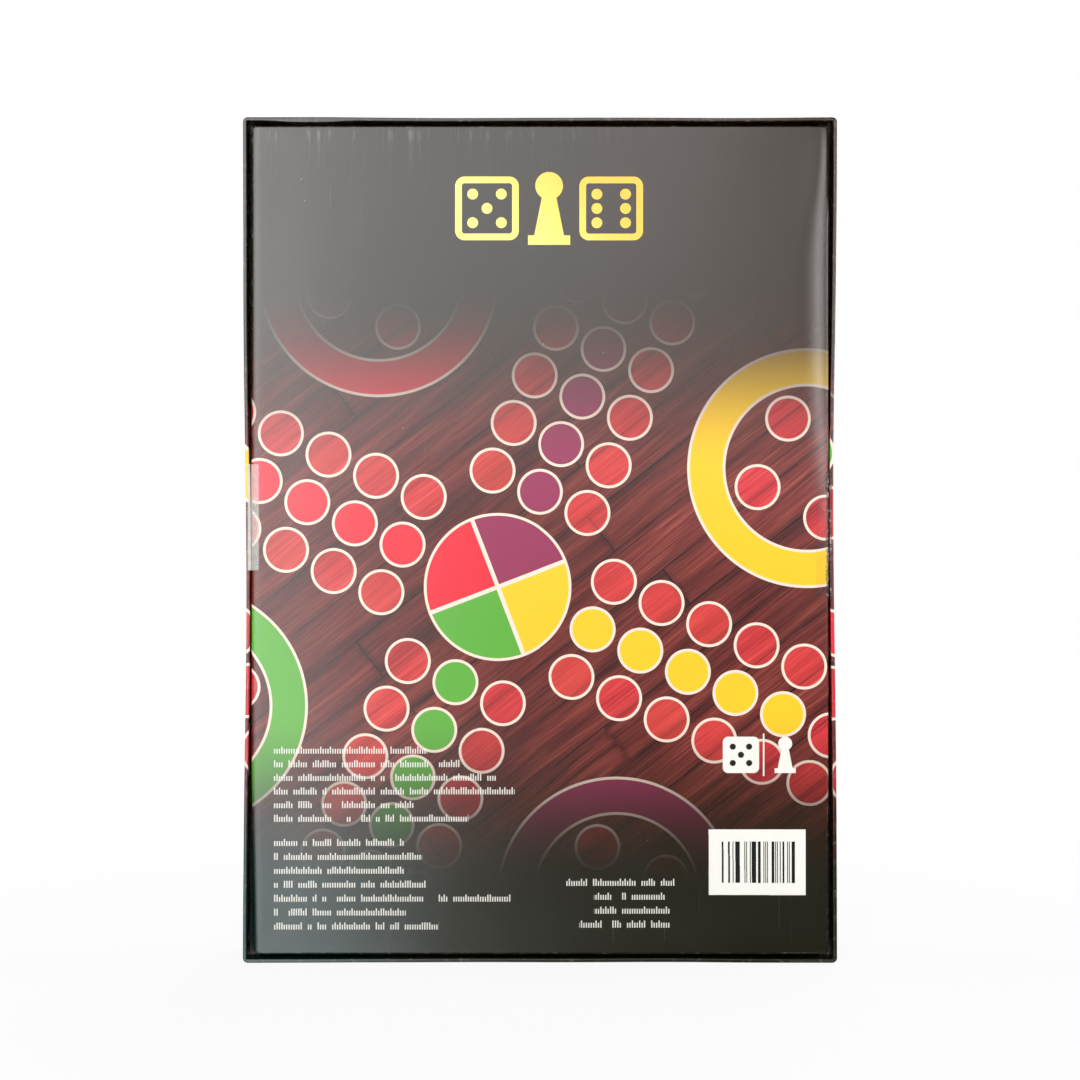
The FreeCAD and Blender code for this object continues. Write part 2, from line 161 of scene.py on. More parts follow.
class Finish:
    """A material in the making: its shader, and one method that adds any node to its tree."""

    point = None

    def __init__(self, name):
        self.material = bpy.data.materials.new(name)
        self.material.use_nodes = True
        self.tree = self.material.node_tree
        self.shader = self.tree.nodes["Principled BSDF"]

    def add(self, kind, settings, sockets, output=0):
        node = self.tree.nodes.new(kind)
        for name, value in settings.items():
            if name == "stops":
                self.set_stops(node.color_ramp, value)
            else:
                setattr(node, name, value)
        for name, value in sockets.items():
            self.plug(node.inputs[name], value)
        return Field(self, node.outputs[output])

    def plug(self, socket, value):
        if isinstance(value, Field):
            self.tree.links.new(value.socket, socket)
        else:
            socket.default_value = value

    def set_stops(self, ramp, stops):
        while len(ramp.elements) < len(stops):
            ramp.elements.new(1.0)
        for element, (place, colour) in zip(ramp.elements, stops):
            element.position = place
            element.color = colour

    def surface(self, sockets):
        for name, value in sockets.items():
            self.plug(self.shader.inputs[name], value)

    def spot(self):
        """A point of the piece as one vector, in millimetres."""
        if self.point is None:
            metres = self.add("ShaderNodeTexCoord", {}, {}, "Object")
            scale = {"operation": "SCALE"}
            self.point = self.add("ShaderNodeVectorMath", scale, {0: metres, "Scale": 1 / MM})
        return self.point

    def place(self):
        """The three coordinates of a point of the piece, in millimetres."""
        return [self.add("ShaderNodeSeparateXYZ", {}, {0: self.spot()}, axis) for axis in range(3)]

    def mix(self, share, first, second):
        """Two colours mixed by a share of the second."""
        return self.add("ShaderNodeMix", {"data_type": "RGBA"}, {0: share, 6: first, 7: second}, 2)

    def clouds(self, x, y, z, detail=3.0, rough=0.5):
        """Smooth random values round a half, one blob to each step of the coordinates."""
        return self.smooth_values(self.add("ShaderNodeCombineXYZ", {}, {0: x, 1: y, 2: z}), detail, rough)

    def blobs(self, size, detail=3.0, rough=0.5):
        """Smooth random values round a half, in blobs of one size or of a size along each axis."""
        return self.smooth_values(self.steps_of(size), detail, rough)

    def smooth_values(self, point, detail, rough):
        sockets = {"Vector": point, "Scale": 1.0, "Detail": detail, "Roughness": rough}
        return self.add("ShaderNodeTexNoise", {}, sockets, "Fac")

    def steps_of(self, size):
        """A point of the piece, counted in steps of a size in millimetres."""
        sizes = size if isinstance(size, tuple) else (size, size, size)
        return self.add("ShaderNodeVectorMath", {"operation": "DIVIDE"}, {0: self.spot(), 1: sizes})

    def chance(self, first, second):
        """One random value, 0 to 1, for each pair of numbers."""
        pair = self.add("ShaderNodeCombineXYZ", {}, {0: first, 1: second})
        return self.add("ShaderNodeTexWhiteNoise", {"noise_dimensions": "2D"}, {"Vector": pair}, "Value")

    def specks(self, apart, radius):
        """Round specks, about so far apart, of a radius given as a share of that."""
        sockets = {"Vector": self.steps_of(apart), "Scale": 1.0}
        distance = self.add("ShaderNodeTexVoronoi", {}, sockets, "Distance")
        return 1 - distance.rise(radius * 0.6, radius)

    def relief(self, height, distance, strength=1.0):
        """Turns a height field into the normal of a surface that is raised by up to the distance."""
        sockets = {"Height": height, "Distance": distance * MM, "Strength": strength}
        self.plug(self.shader.inputs["Normal"], self.add("ShaderNodeBump", {}, sockets))


CREAM = ink(246, 222, 205)
GREEN, PURPLE = ink(92, 172, 56), ink(150, 44, 86)
RED, YELLOW = ink(230, 36, 56), ink(252, 200, 30)
CHARCOAL_TOP, CHARCOAL_WARM = ink(34, 29, 20), ink(40, 23, 6)
# The cold charcoal is no ink of the print: it is a painted cast of cold light, laid into the charcoal at the
# low left.
CHARCOAL_FOOT, PAINTED_COLD_LIGHT = ink(28, 27, 12), ink(18, 50, 48)
COLD_LIGHT_STRETCH, WARM_STRETCH = (-90.0, -20.0), (-60.0, 60.0)


def plain_mesh(name, points, faces, materials):
    """A mesh from points in millimetres."""
    mesh = bpy.data.meshes.new(name)
    mesh.from_pydata((np.asarray(points) * MM).tolist(), [], [list(map(int, face)) for face in faces])
    for material in materials:
        mesh.materials.append(material)
    return mesh


def face_outwards(mesh, weld=WELD):
    """Merges a mesh's doubles, if it has any, and turns all of its faces outwards."""
    shape = bmesh.new()
    shape.from_mesh(mesh)
    if weld:
        bmesh.ops.remove_doubles(shape, verts=shape.verts, dist=weld * MM)
    bmesh.ops.recalc_face_normals(shape, faces=shape.faces)
    shape.to_mesh(mesh)
    shape.free()


def smooth_piece(name, mesh, creased=True):
    """Puts a mesh in the scene, smooth across its round edges and sharp at its creases."""
    mesh.shade_smooth()
    if creased:
        mesh.set_sharp_from_angle(angle=SHARP_ANGLE)
    piece = bpy.data.objects.new(name, mesh)
    bpy.context.scene.collection.objects.link(piece)
    return piece


def mesh_object(name, points, faces, materials, marks=None):
    """A piece from points in millimetres, with a material number for each face."""
    mesh = plain_mesh(name, points, faces, materials)
    if marks is not None:
        mesh.polygons.foreach_set("material_index", np.asarray(marks, dtype=np.int32))
    face_outwards(mesh)
    return smooth_piece(name, mesh)


def side_places(half, corner, steps, crowd=0.0):
    """Places along one side of a rounded rectangle, closer together towards its two corners if crowded."""
    arc = corner * (1 - np.tan(np.radians(45) * (1 - np.arange(ARC_STEPS) / ARC_STEPS))) - half
    even = np.linspace(-1, 1, steps + 1)
    run = (half - corner) * ((1 - crowd) * even + crowd * np.sin(even * math.pi / 2))
    return np.concatenate([arc, run, -arc[::-1]])


def box_rows(panel_y, inner_y, rim_y, wall, fold, rim, wall_steps):
    """The section of a card box, from its panel's edge over the soft-edged rim to the panel inside."""
    way = math.copysign(1, rim_y - panel_y)
    crest_y = rim_y - way * rim
    turns = np.linspace(0, math.pi / 2, ARC_STEPS + 1)
    rows = [(fold * (1 - math.sin(a)), panel_y + way * fold * (1 - math.cos(a))) for a in turns]
    rows += [(0, y) for y in np.linspace(panel_y + way * fold, crest_y, wall_steps + 1)[1:-1]]
    lip = [(rim * (1 - math.cos(a)), crest_y + way * rim * math.sin(a)) for a in turns]
    rows += lip + [(wall - out, y) for out, y in reversed(lip)]
    rows += [(wall, y) for y in np.linspace(crest_y, inner_y, wall_steps + 1)[1:]]
    return rows


def card_box(name, low, high, rows, corner, steps, turn_in, materials, bend):
    """An open card box: a panel, rows of wall over the rim and back in, and the panel inside."""
    half_x, half_z = (high[0] - low[0]) / 2, (high[2] - low[2]) / 2
    middle_x, middle_z = (high[0] + low[0]) / 2, (high[2] + low[2]) / 2
    columns, ranks = (2 * ARC_STEPS + count + 1 for count in steps)
    edge = [(i, 0) for i in range(columns)]
    edge += [(columns - 1, j) for j in range(1, ranks)]
    edge += [(i, ranks - 1) for i in range(columns - 2, -1, -1)]
    edge += [(0, j) for j in range(ranks - 2, 0, -1)]
    edge_i, edge_j = np.array(edge).T

    def sheet(inset, y):
        reach = np.array([half_x - inset, half_z - inset])
        bow = max(corner - inset, LEAST_CORNER)
        places = [side_places(half, bow, count, EDGE_CROWD) for half, count in zip(reach, steps)]
        flat = np.stack(np.meshgrid(*places, indexing="ij"), -1)
        core = np.clip(flat, bow - reach, reach - bow)
        out = (flat - core)[edge_i, edge_j]
        flat[edge_i, edge_j] = core[edge_i, edge_j] + bow * out / np.linalg.norm(out, axis=-1, keepdims=True)
        level = np.full((columns, ranks), y)
        return np.stack([flat[..., 0] + middle_x, level, flat[..., 1] + middle_z], -1)

    def sheet_faces(start):
        corners = start + np.arange(columns * ranks).reshape(columns, ranks)
        quads = [corners[:-1, :-1], corners[1:, :-1], corners[1:, 1:], corners[:-1, 1:]]
        return np.stack(quads, -1).reshape(-1, 4).tolist()

    points = [sheet(*rows[0]).reshape(-1, 3)]
    faces = sheet_faces(0)
    marks = [0] * len(faces)
    ring = edge_i * ranks + edge_j
    depths = [abs(y - rows[0][1]) for _, y in rows]
    crest = int(np.argmax(depths))
    count = len(points[0])
    for k, row in enumerate(rows[1:], start=1):
        if k == len(rows) - 1:
            points.append(sheet(*row).reshape(-1, 3))
            following = count + edge_i * ranks + edge_j
        else:
            points.append(sheet(*row)[edge_i, edge_j])
            following = count + np.arange(len(edge))
        lined = int(k > crest and depths[crest] - depths[k] > turn_in)
        band = np.stack([ring, np.roll(ring, -1), np.roll(following, -1), following], -1)
        faces += band.tolist()
        marks += [lined] * len(band)
        count += len(points[-1])
        ring = following
    inside = sheet_faces(count - columns * ranks)
    faces += inside
    marks += [1] * len(inside)
    return mesh_object(name, bend(np.concatenate(points)), faces, materials, marks)


def inside_edges(x, z, low, high):
    """How far a point of a box lies inside its two long sides and inside its two ends."""
    to_side = (high[0] - low[0]) / 2 - abs(x)
    to_end = (high[2] - low[2]) / 2 - abs(z - (high[2] + low[2]) / 2)
    return to_side, to_end


def unfolded(x, y, z, low, high, panel_y):
    """Where a point of the wrap lay on the flat printed sheet, before its sides were folded down."""
    way = 1 if panel_y == low[1] else -1
    depth = (y - panel_y) * way
    middle_z = (high[2] + low[2]) / 2
    to_side, to_end = inside_edges(x, z, low, high)
    on_side = to_end > to_side
    across = x + x.sign() * depth * on_side
    up = z + (z - middle_z).sign() * depth * (1 - on_side)
    return across, up


def planks(finish, x, z, tilt):
    """Dark stained planks: their colour, and the same planks under the red of the painted spaces."""
    turn = math.radians(tilt)
    along = x * math.cos(turn) + z * math.sin(turn)
    across = z * math.cos(turn) - x * math.sin(turn)
    row = math.floor(across / PLANK_WIDTH)
    part = along / PLANK_LENGTH + finish.chance(row, 3.5) * 5
    plank = finish.chance(row, math.floor(part))
    swayed = across + finish.clouds(along / SWAY_LENGTH, row * 3.7, plank * 7, 1) * SWAY
    fibre = finish.clouds(along / FIBRE_LENGTH + plank * 40, swayed / FIBRE_WIDTH, plank * 9, 4, 0.62)
    figure = finish.clouds(along / FIGURE_LENGTH, swayed / FIGURE_WIDTH, plank * 17, 3)
    shade = figure * 0.45 + fibre * 0.55
    tones = ink(48, 14, 12), ink(98, 35, 31), ink(134, 52, 45), ink(178, 84, 71)
    stops = list(zip((0.34, 0.45, 0.55, 0.68), tones))
    wood = finish.add("ShaderNodeValToRGB", {"stops": stops}, {0: shade})
    wood = finish.mix(plank * 0.5, wood, ink(64, 22, 19))
    to_edge = (0.5 - abs(across / PLANK_WIDTH - row - 0.5)) * PLANK_WIDTH
    to_end = (0.5 - abs(part % 1 - 0.5)) * PLANK_LENGTH
    to_seam = to_edge.least(to_end)
    open_share = finish.clouds(along / OPEN_SEAM_LENGTH, row * 5.3, 2.5, 2).rise(0.3, 0.56)
    seam = (1 - to_seam.rise(0.08, 0.48)) * open_share
    hollow = seam.most((1 - to_seam.rise(0.2, 2.6)) * 0.35)
    wood = finish.mix(hollow, wood, ink(30, 9, 9))
    tones = ink(146, 24, 32), ink(196, 40, 50), ink(226, 62, 66), ink(240, 90, 82)
    stops = list(zip((0.34, 0.46, 0.60, 0.70), tones))
    stain = finish.add("ShaderNodeValToRGB", {"stops": stops}, {0: shade})
    stain = finish.mix(hollow * 0.8 + plank * 0.12, stain, ink(110, 20, 26))
    return wood, stain


def ringed(finish, colour, distance, radius, fill, where=1):
    """A painted disc with a cream ring round it, printed over a colour."""
    colour = finish.mix(distance.under(radius) * where, colour, CREAM)
    return finish.mix(distance.under(radius - RING) * where, colour, fill)


def ludo_cross(finish, u, v, step, arms, yards, wood, stain):
    """The four arms of round spaces, the quartered home and the four round yards, u and v from the middle."""
    far, aside = abs(u).most(abs(v)), abs(u).least(abs(v))
    right, top = u > 0, v > 0
    by_arm = finish.mix(
        abs(v) > abs(u), finish.mix(right, arms[3], arms[1]), finish.mix(top, arms[2], arms[0])
    )
    by_yard = finish.mix(right, finish.mix(top, yards[2], yards[3]), finish.mix(top, yards[1], yards[0]))
    on_arm = (aside < ARM_HALF * step) * (far > ARM_HALF * step) * (far < ARM_END * step)
    home_run = (aside < 0.5 * step) * (far < HOME_RUN_END * step)
    column, rank = round(u / step), round(v / step)
    from_space = (u - column * step).reach(v - rank * step)
    painted = finish.mix(finish.chance(column, rank) * 0.35, stain, ink(212, 84, 60))
    fill = finish.mix(home_run, painted, by_arm)
    colour = ringed(finish, wood, from_space, SPACE_SHARE * step, fill, on_arm)
    from_middle = u.reach(v)
    colour = finish.mix(from_middle.under(HOME_SHARE * step), colour, CREAM)
    quarter = from_middle.under(HOME_SHARE * step - RING) * (far - aside).rise(RING, RING + SOFT)
    colour = finish.mix(quarter, colour, by_arm)
    yard_u, yard_v = abs(u) - YARD_PLACE_SHARE * step, abs(v) - YARD_PLACE_SHARE * step
    from_yard = yard_u.reach(yard_v)
    colour = ringed(finish, colour, from_yard, YARD_SHARE * step, by_yard)
    colour = ringed(finish, colour, from_yard, YARD_INNER_SHARE * step, wood)
    apart = YARD_SPACE_PLACE_SHARE * step
    from_spot = (abs(yard_u) - apart).reach(abs(yard_v) - apart)
    return ringed(finish, colour, from_spot, SPACE_SHARE * step, stain)


def box_picture(finish, across, up, middle, tilt, step, arms, yards):
    """A ludo cross lying on planks, turned on the sheet about its middle."""
    turn = math.radians(tilt)
    from_x, from_z = across - middle[0], up - middle[1]
    u = from_x * math.cos(turn) + from_z * math.sin(turn)
    v = from_z * math.cos(turn) - from_x * math.sin(turn)
    wood, stain = planks(finish, from_x, from_z, tilt + PLANK_TILT)
    return ludo_cross(finish, u, v, step, arms, yards, wood, stain)


def faded_print(finish, across, up, picture, foot, top):
    """The picture, fading into charcoal that is warm at the upper right, with a painted cast of cold light at
    the low left.
    """
    # Towards the low left, the foot's charcoal turns into painted cold light.
    foot_tone_and_cold_light = finish.mix(across.rise(*COLD_LIGHT_STRETCH), PAINTED_COLD_LIGHT, CHARCOAL_FOOT)
    head_tone = finish.mix(across.rise(*WARM_STRETCH), CHARCOAL_TOP, CHARCOAL_WARM)
    ground = finish.mix(up.rise(*foot), foot_tone_and_cold_light, head_tone)
    shown = up.rise(*foot) * (1 - up.rise(*top))
    return finish.mix(shown * shown, ground, picture)


def rounded_square(x, z, middle, half, corner):
    """How far a point lies outside a square with round corners."""
    out_x = (abs(x - middle[0]) - (half - corner)).most(0)
    out_z = (abs(z - middle[1]) - (half - corner)).most(0)
    return out_x.reach(out_z) - corner


def die_pips(x, z, middle, half, five):
    """The pips of a printed die face, five of them or six."""
    apart_x, apart_z = abs(x - middle[0]), abs(z - middle[1])
    pip, place = half * PIP_SHARE, half * PIP_PLACE_SHARE
    corner_pips = (apart_x - place).reach(apart_z - place).under(pip)
    return corner_pips.most((apart_x - (0 if five else place)).reach(apart_z).under(pip))


def die_mark(x, z, middle, half, line, five):
    """A printed die face in outline, with its pips."""
    outside = rounded_square(x, z, middle, half, half * DIE_CORNER_SHARE)
    return die_pips(x, z, middle, half, five).most(outside.under(0) * (1 - outside.under(-line)))


def peg_mark(x, z, middle, half):
    """A printed playing peg, with all of its sizes as shares of half its height."""
    apart, height = abs(x - middle[0]), z - (middle[1] - half)
    head = apart.reach(height - 1.62 * half).under(0.38 * half)
    skirt = (apart + height * 0.2 - 0.46 * half).under(0) * height.under(1.5 * half) * (height > 0)
    foot = apart.under(0.58 * half) * height.under(0.26 * half) * (height > 0)
    return head.most(skirt).most(foot)


def emblem_mark(x, z, middle, half, apart, line, peg_half):
    """Two printed dice, a five and a six, with a peg between them."""
    left_die, right_die = ((middle[0] + way * apart, middle[1]) for way in (-1, 1))
    dice = die_mark(x, z, left_die, half, line, True).most(die_mark(x, z, right_die, half, line, False))
    return dice.most(peg_mark(x, z, middle, peg_half))


def small_print(finish, x, z, left, right, top, pitch, lines, aligned_right=False):
    """Fine upright ticks in broken lines, where a printed box has its small print."""
    line = math.floor((top - z) / pitch)
    above_foot = (line + 0.8) * pitch - (top - z)
    along = right - x if aligned_right else x - left
    length = (right - left) * (0.5 + 0.48 * finish.chance(line, top))
    in_word = finish.chance(math.floor(along / (2 * TICK_PITCH)), line - top) > WORD_GAP_SHARE
    tick = math.floor(along / TICK_PITCH)
    upright = abs(along - (tick + 0.5) * TICK_PITCH).under(TICK_WIDTH / 2)
    tall = TICK_HEIGHT * (1 + 0.45 * (finish.chance(tick, line + top) > TALL_TICK_SHARE))
    mark = upright * (above_foot > 0) * (above_foot - tall).under(0)
    return mark * in_word * (along > 0) * (along < length) * (line > -0.5) * (line < lines - 0.5)


def laminate(finish, colour, edge_wear, tabs, streaked=0):
    """Gloss film over print: cloudy sheen, fine scuffs, dust in it and the paper showing where it is worn."""
    cloud = finish.blobs(38, 3)
    patch = finish.blobs((30, 30, 50)).rise(0.5, 0.7)
    scuff = finish.blobs((0.7, 3, 34), 2).rise(0.66, 0.8) * patch
    streak = finish.blobs((1.9, 9, 26), 2).rise(0.52, 0.76) * streaked
    dust = finish.specks(9, 0.024) * finish.blobs(60).rise(0.42, 0.6)
    chipped = edge_wear * finish.blobs(3, 5, 0.75).rise(0.52, 0.74)
    # The streaks lighten the film where the caller asks: partly scuffs, partly painted highlight.
    colour = finish.mix((scuff * 0.12).most(streak * 0.05), colour, ink(190, 186, 178))
    colour = finish.mix((dust * 0.55).most(chipped * 0.22), colour, ink(190, 184, 174))
    finish.surface({"Base Color": colour, "Roughness": 0.19 + cloud * 0.07 + scuff * 0.1, "IOR": 1.5})
    grain = finish.blobs(1.6, 2)
    finish.relief(cloud * 0.5 + grain * 0.018 + scuff * 0.03 + streak * 0.03 + tabs * 0.25, 0.35, 0.5)


def lining(name, tint):
    """Plain paper glued inside the box, a little mottled and pressed into the board's grain."""
    finish = Finish(name)
    mottle = finish.blobs(24, 4)
    fibre = finish.blobs(0.9, 4, 0.7)
    colour = finish.mix(mottle * 0.5 + fibre * 0.3, tint, ink(216, 211, 200))
    finish.surface({"Base Color": colour, "Roughness": 0.72 + fibre * 0.2})
    finish.relief(fibre * 0.5 + mottle, 0.12, 0.5)
    return finish.material


tray_low, tray_high = place_of("tray_shell")
TRAY_PICTURE_MIDDLE = (-14.0, 124.0)
TRAY_PICTURE_TILT = -24.0
PICTURE_FOOT, PICTURE_TOP = (18.0, 84.0), (162.0, 232.0)
GOLD_PALE, GOLD_DEEP = ink(252, 244, 120), ink(248, 196, 40)
EMBLEM_MIDDLE, EMBLEM_APART, EMBLEM_SHEEN = (3.0, 249.0), 20.5, 30.0
EMBLEM_HALF, EMBLEM_LINE, EMBLEM_PEG_HALF = 10.5, 2.2, 12.0
SMALL_PRINT = ((-88.0, 1.0, 72.6, 4.5, 6), (-88.0, -6.0, 42.2, 4.6, 7))
ADDRESS_PRINT = (3.0, 44.5, 29.0, 4.6, 4)
LABEL_LOW, LABEL_HIGH = (55.7, 22.3), (87.7, 44.0)
LABEL_STRIPE, LABEL_MARGINS = 0.3, (3.5, 4.0)
ICON_HEIGHT, ICON_HALF = 68.6, 6.0
ICON_PLACES, ICON_RULE = (66.4, 81.0), 73.9
ICON_RULE_HALF = (0.25, 7.0)
STREAK_DROP, STREAK_SPREAD = (26.0, 4.0), (-70.0, 60.0)
STREAK_BAND_FOOT, STREAK_BAND_HEAD = (6.0, 3.0), (2.0, 1.0)


def printed_tray():
    finish = Finish("tray_wrap_print")
    x, y, z = finish.place()
    across, up = unfolded(x, y, z, tray_low, tray_high, tray_low[1])
    arms = (PURPLE, YELLOW, GREEN, RED)
    yards = (YELLOW, PURPLE, GREEN, RED)
    picture = box_picture(finish, across, up, TRAY_PICTURE_MIDDLE, TRAY_PICTURE_TILT, STEP, arms, yards)
    colour = faded_print(finish, across, up, picture, PICTURE_FOOT, PICTURE_TOP)

    emblem = emblem_mark(
        across, up, EMBLEM_MIDDLE, EMBLEM_HALF, EMBLEM_APART, EMBLEM_LINE, EMBLEM_PEG_HALF
    )
    sheen = (across + up - sum(EMBLEM_MIDDLE)).rise(-EMBLEM_SHEEN, EMBLEM_SHEEN)
    colour = finish.mix(emblem, colour, finish.mix(sheen, GOLD_PALE, GOLD_DEEP))

    bars = small_print(finish, across, up, *ADDRESS_PRINT, aligned_right=True)
    for block in SMALL_PRINT:
        bars = bars.most(small_print(finish, across, up, *block))
    die_place, peg_place = ((place, ICON_HEIGHT) for place in ICON_PLACES)
    icons = rounded_square(across, up, die_place, ICON_HALF, ICON_HALF * DIE_CORNER_SHARE).under(0)
    icons = icons.most(peg_mark(across, up, peg_place, ICON_HALF))
    rule = abs(across - ICON_RULE).under(ICON_RULE_HALF[0]) * abs(up - ICON_HEIGHT).under(ICON_RULE_HALF[1])
    colour = finish.mix((bars * 0.85).most(icons).most(rule), colour, ink(238, 236, 228))
    colour = finish.mix(die_pips(across, up, die_place, ICON_HALF, True), colour, CHARCOAL_TOP)

    label_x, label_z = (sum(pair) / 2 for pair in zip(LABEL_LOW, LABEL_HIGH))
    apart_x, apart_z = abs(across - label_x), abs(up - label_z)
    half_x, half_z = ((high - low) / 2 for low, high in zip(LABEL_LOW, LABEL_HIGH))
    label = apart_x.under(half_x) * apart_z.under(half_z)
    stripe = finish.chance(math.floor(across / LABEL_STRIPE), 6.5) > 0.5
    stripe = stripe * apart_x.under(half_x - LABEL_MARGINS[0]) * apart_z.under(half_z - LABEL_MARGINS[1])
    colour = finish.mix(label, colour, finish.mix(stripe, ink(240, 238, 232), ink(24, 24, 24)))

    to_side, to_end = inside_edges(x, z, tray_low, tray_high)
    on_fold = (1 - to_side.least(to_end).rise(0.2, 0.9)) * (1 - (y - tray_low[1]).rise(0.4, 1.6))
    # Lighter streaks in the film near the top edge, thickest in a band just below it and fading out to the
    # right: scuffs, together with a painted highlight along the lit upper left of the edge.
    foot, head, drop = (
        z.rise(*(tray_high[2] - below for below in band))
        for band in (STREAK_BAND_FOOT, STREAK_BAND_HEAD, STREAK_DROP)
    )
    streaked = drop * (1 - x.rise(*STREAK_SPREAD)) * (1 + foot * (1 - head) * 2.5)
    tabs = to_side.under(WRAP_TAB) * to_end.under(TRAY_WALL / 2)
    laminate(finish, colour, on_fold, tabs, streaked)
    return finish.material


def climb(value, low, high):
    """Rises smoothly from 0 at low to 1 at high, as a field's rise does, on plain numbers."""
    share = np.clip((value - low) / (high - low), 0, 1)
    return share**2 * (3 - 2 * share)


def settle_tray(points):
    """The panel of a used box: uneven, knocked in at the low left corner, sprung back at the upper right."""
    x, y, z = points.T
    to_left, to_right = x - tray_low[0], tray_high[0] - x
    to_side = np.minimum(to_left, to_right)
    to_end = np.minimum(z - tray_low[2], tray_high[2] - z)
    on_outside = (y < tray_low[1] + TRAY_PANEL / 2) | (np.minimum(to_side, to_end) < TRAY_WALL / 2)
    outside = on_outside * np.clip((tray_low[1] + TRAY_FOLD - y) / TRAY_FOLD, 0, 1)
    fall = LEFT_DROP * np.clip(1 - to_left / LEFT_SLOPE, 0, 1) ** 2
    fall += sum(PANEL_DROP * np.clip(1 - gap / PANEL_SLOPE, 0, 1) ** 2 for gap in (to_right, to_end))
    start, narrowing = (climb(z, *stretch) for stretch in (SPRUNG_FOOT, SPRUNG_HEAD))
    wander = np.array([noise.noise(Vector((8.2, 1.7, pz / WANDER_LENGTH))) for pz in z])
    width = SPRUNG_WIDE + (SPRUNG_NARROW - SPRUNG_WIDE) * narrowing
    width = width * (1 + SPRUNG_WANDER * wander)
    fall += (x > 0) * start * SPRUNG_TILT / 2 * width * np.clip(1 - to_side / width, 0, 1) ** 2
    flat = np.clip(np.minimum(to_side, to_end) / SPRUNG_WIDE, 0, 1)
    ripple_x, ripple_z = x / RIPPLE_LENGTHS[0], z / RIPPLE_LENGTHS[1]
    ripple = np.array([noise.noise(Vector((px, 3.7, pz))) for px, pz in zip(ripple_x, ripple_z)])
    knock = on_outside * KNOCK_DEPTH * (1 - climb(z, tray_low[2], KNOCK_TOP))
    for gap in (to_left, y - tray_low[1]):
        knock = knock * np.clip(1 - gap / KNOCK_REACH, 0, 1)
    points[:, 1] += outside * (fall + PANEL_RIPPLE * flat * (1 + ripple) / 2)
    points[:, 0] += knock
    return points


tray_rows = box_rows(
    tray_low[1], tray_low[1] + TRAY_PANEL, tray_high[1], TRAY_WALL, TRAY_FOLD, TRAY_RIM, TRAY_WALL_STEPS
)
tray_lining = lining("tray_lining_paper", ink(238, 234, 226))
tray = card_box(
    "tray", tray_low, tray_high, tray_rows, TRAY_CORNER, TRAY_PANEL_STEPS, WRAP_TURN_IN,
    [printed_tray(), tray_lining], settle_tray,
)
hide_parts("tray_shell")
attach(tray, "tray")

# Insert
# One strip of thin white-faced card, folded into a platform that holds the board up under the lid and a bay
# for the loose pieces beside it, with a thumb notch stamped in the platform's edge. It drops into the tray.
INSERT_CARD, INSERT_STEPS = 0.8, 24
INSERT_BEND = 0.9
INSERT_UPSTAND = 24.0
BAY_LEFT = 43.4
NOTCH_RADIUS, NOTCH_DEPTH = 11.0, 14.0
NOTCH_SIDES = 64


def bent_path(corners, radius, steps=5):
    """A line through the corners with each of them rounded, as points to offset a strip from."""
    corners = [np.array(corner, float) for corner in corners]
    path = [corners[0]]
    for before, corner, after in zip(corners, corners[1:], corners[2:]):
        back = (before - corner) / np.linalg.norm(before - corner)
        ahead = (after - corner) / np.linalg.norm(after - corner)
        half = math.acos(np.clip(back @ ahead, -1, 1)) / 2
        centre = corner + (back + ahead) / np.linalg.norm(back + ahead) * radius / math.sin(half)
        first, last = corner + back * radius / math.tan(half), corner + ahead * radius / math.tan(half)
        for share in np.linspace(0, 1, steps + 1):
            point = first * (1 - share) + last * share - centre
            path.append(centre + point / np.linalg.norm(point) * radius)
    return np.array(path + [corners[-1]])


def strip(name, path, thick, low_z, high_z, lengths, materials, lift=None, bend=None):
    """A strip of sheet along Z whose section follows a path; lift pushes it out, bend moves its points."""
    tangent = np.gradient(path, axis=0)
    normal = np.stack([-tangent[:, 1], tangent[:, 0]], -1)
    normal /= np.linalg.norm(normal, axis=1, keepdims=True)
    outline = len(path) * 2
    points, faces, marks = [], [], []
    for z in np.linspace(low_z, high_z, lengths + 1):
        out = np.array([lift(x, y, z) if lift else 0.0 for x, y in path])[:, None]
        upper = path + normal * (out + thick / 2)
        lower = path + normal * (out - thick / 2)
        loop = np.concatenate([upper, lower[::-1]])
        points += [(x, y, z) for x, y in loop]
    for rank in range(lengths):
        for k in range(outline):
            following = (k + 1) % outline
            base = rank * outline
            faces.append((base + k, base + following, base + outline + following, base + outline + k))
            marks.append(int(k in (len(path) - 1, outline - 1)))
    for rank in (0, lengths):
        base = rank * outline
        for k in range(len(path) - 1):
            faces.append((base + k, base + k + 1, base + outline - 2 - k, base + outline - 1 - k))
            marks.append(1)
    points = bend(np.array(points)) if bend else points
    return mesh_object(name, points, faces, materials, [min(mark, len(materials) - 1) for mark in marks])


def white_card():
    finish = Finish("insert_white_card")
    mottle = finish.blobs(30, 4)
    fibre = finish.blobs((0.5, 0.5, 2.5), 4, 0.7)
    scuff = finish.blobs((12, 12, 3), 5, 0.7).rise(0.6, 0.78)
    colour = finish.mix(mottle * 0.6, ink(240, 238, 232), ink(224, 221, 212))
    colour = finish.mix(scuff * 0.25 + fibre * 0.12, colour, ink(186, 180, 170))
    finish.surface({"Base Color": colour, "Roughness": 0.46 + fibre * 0.2 + scuff * 0.15})
    finish.relief(fibre * 0.4 + mottle, 0.1, 0.5)
    return finish.material


def grey_edge():
    finish = Finish("insert_cut_edge")
    pulp = finish.blobs((0.3, 0.3, 0.8), 4, 0.7)
    colour = finish.mix(pulp, ink(120, 114, 106), ink(176, 169, 158))
    finish.surface({"Base Color": colour, "Roughness": 0.92})
    finish.relief(pulp, 0.08, 0.8)
    return finish.material


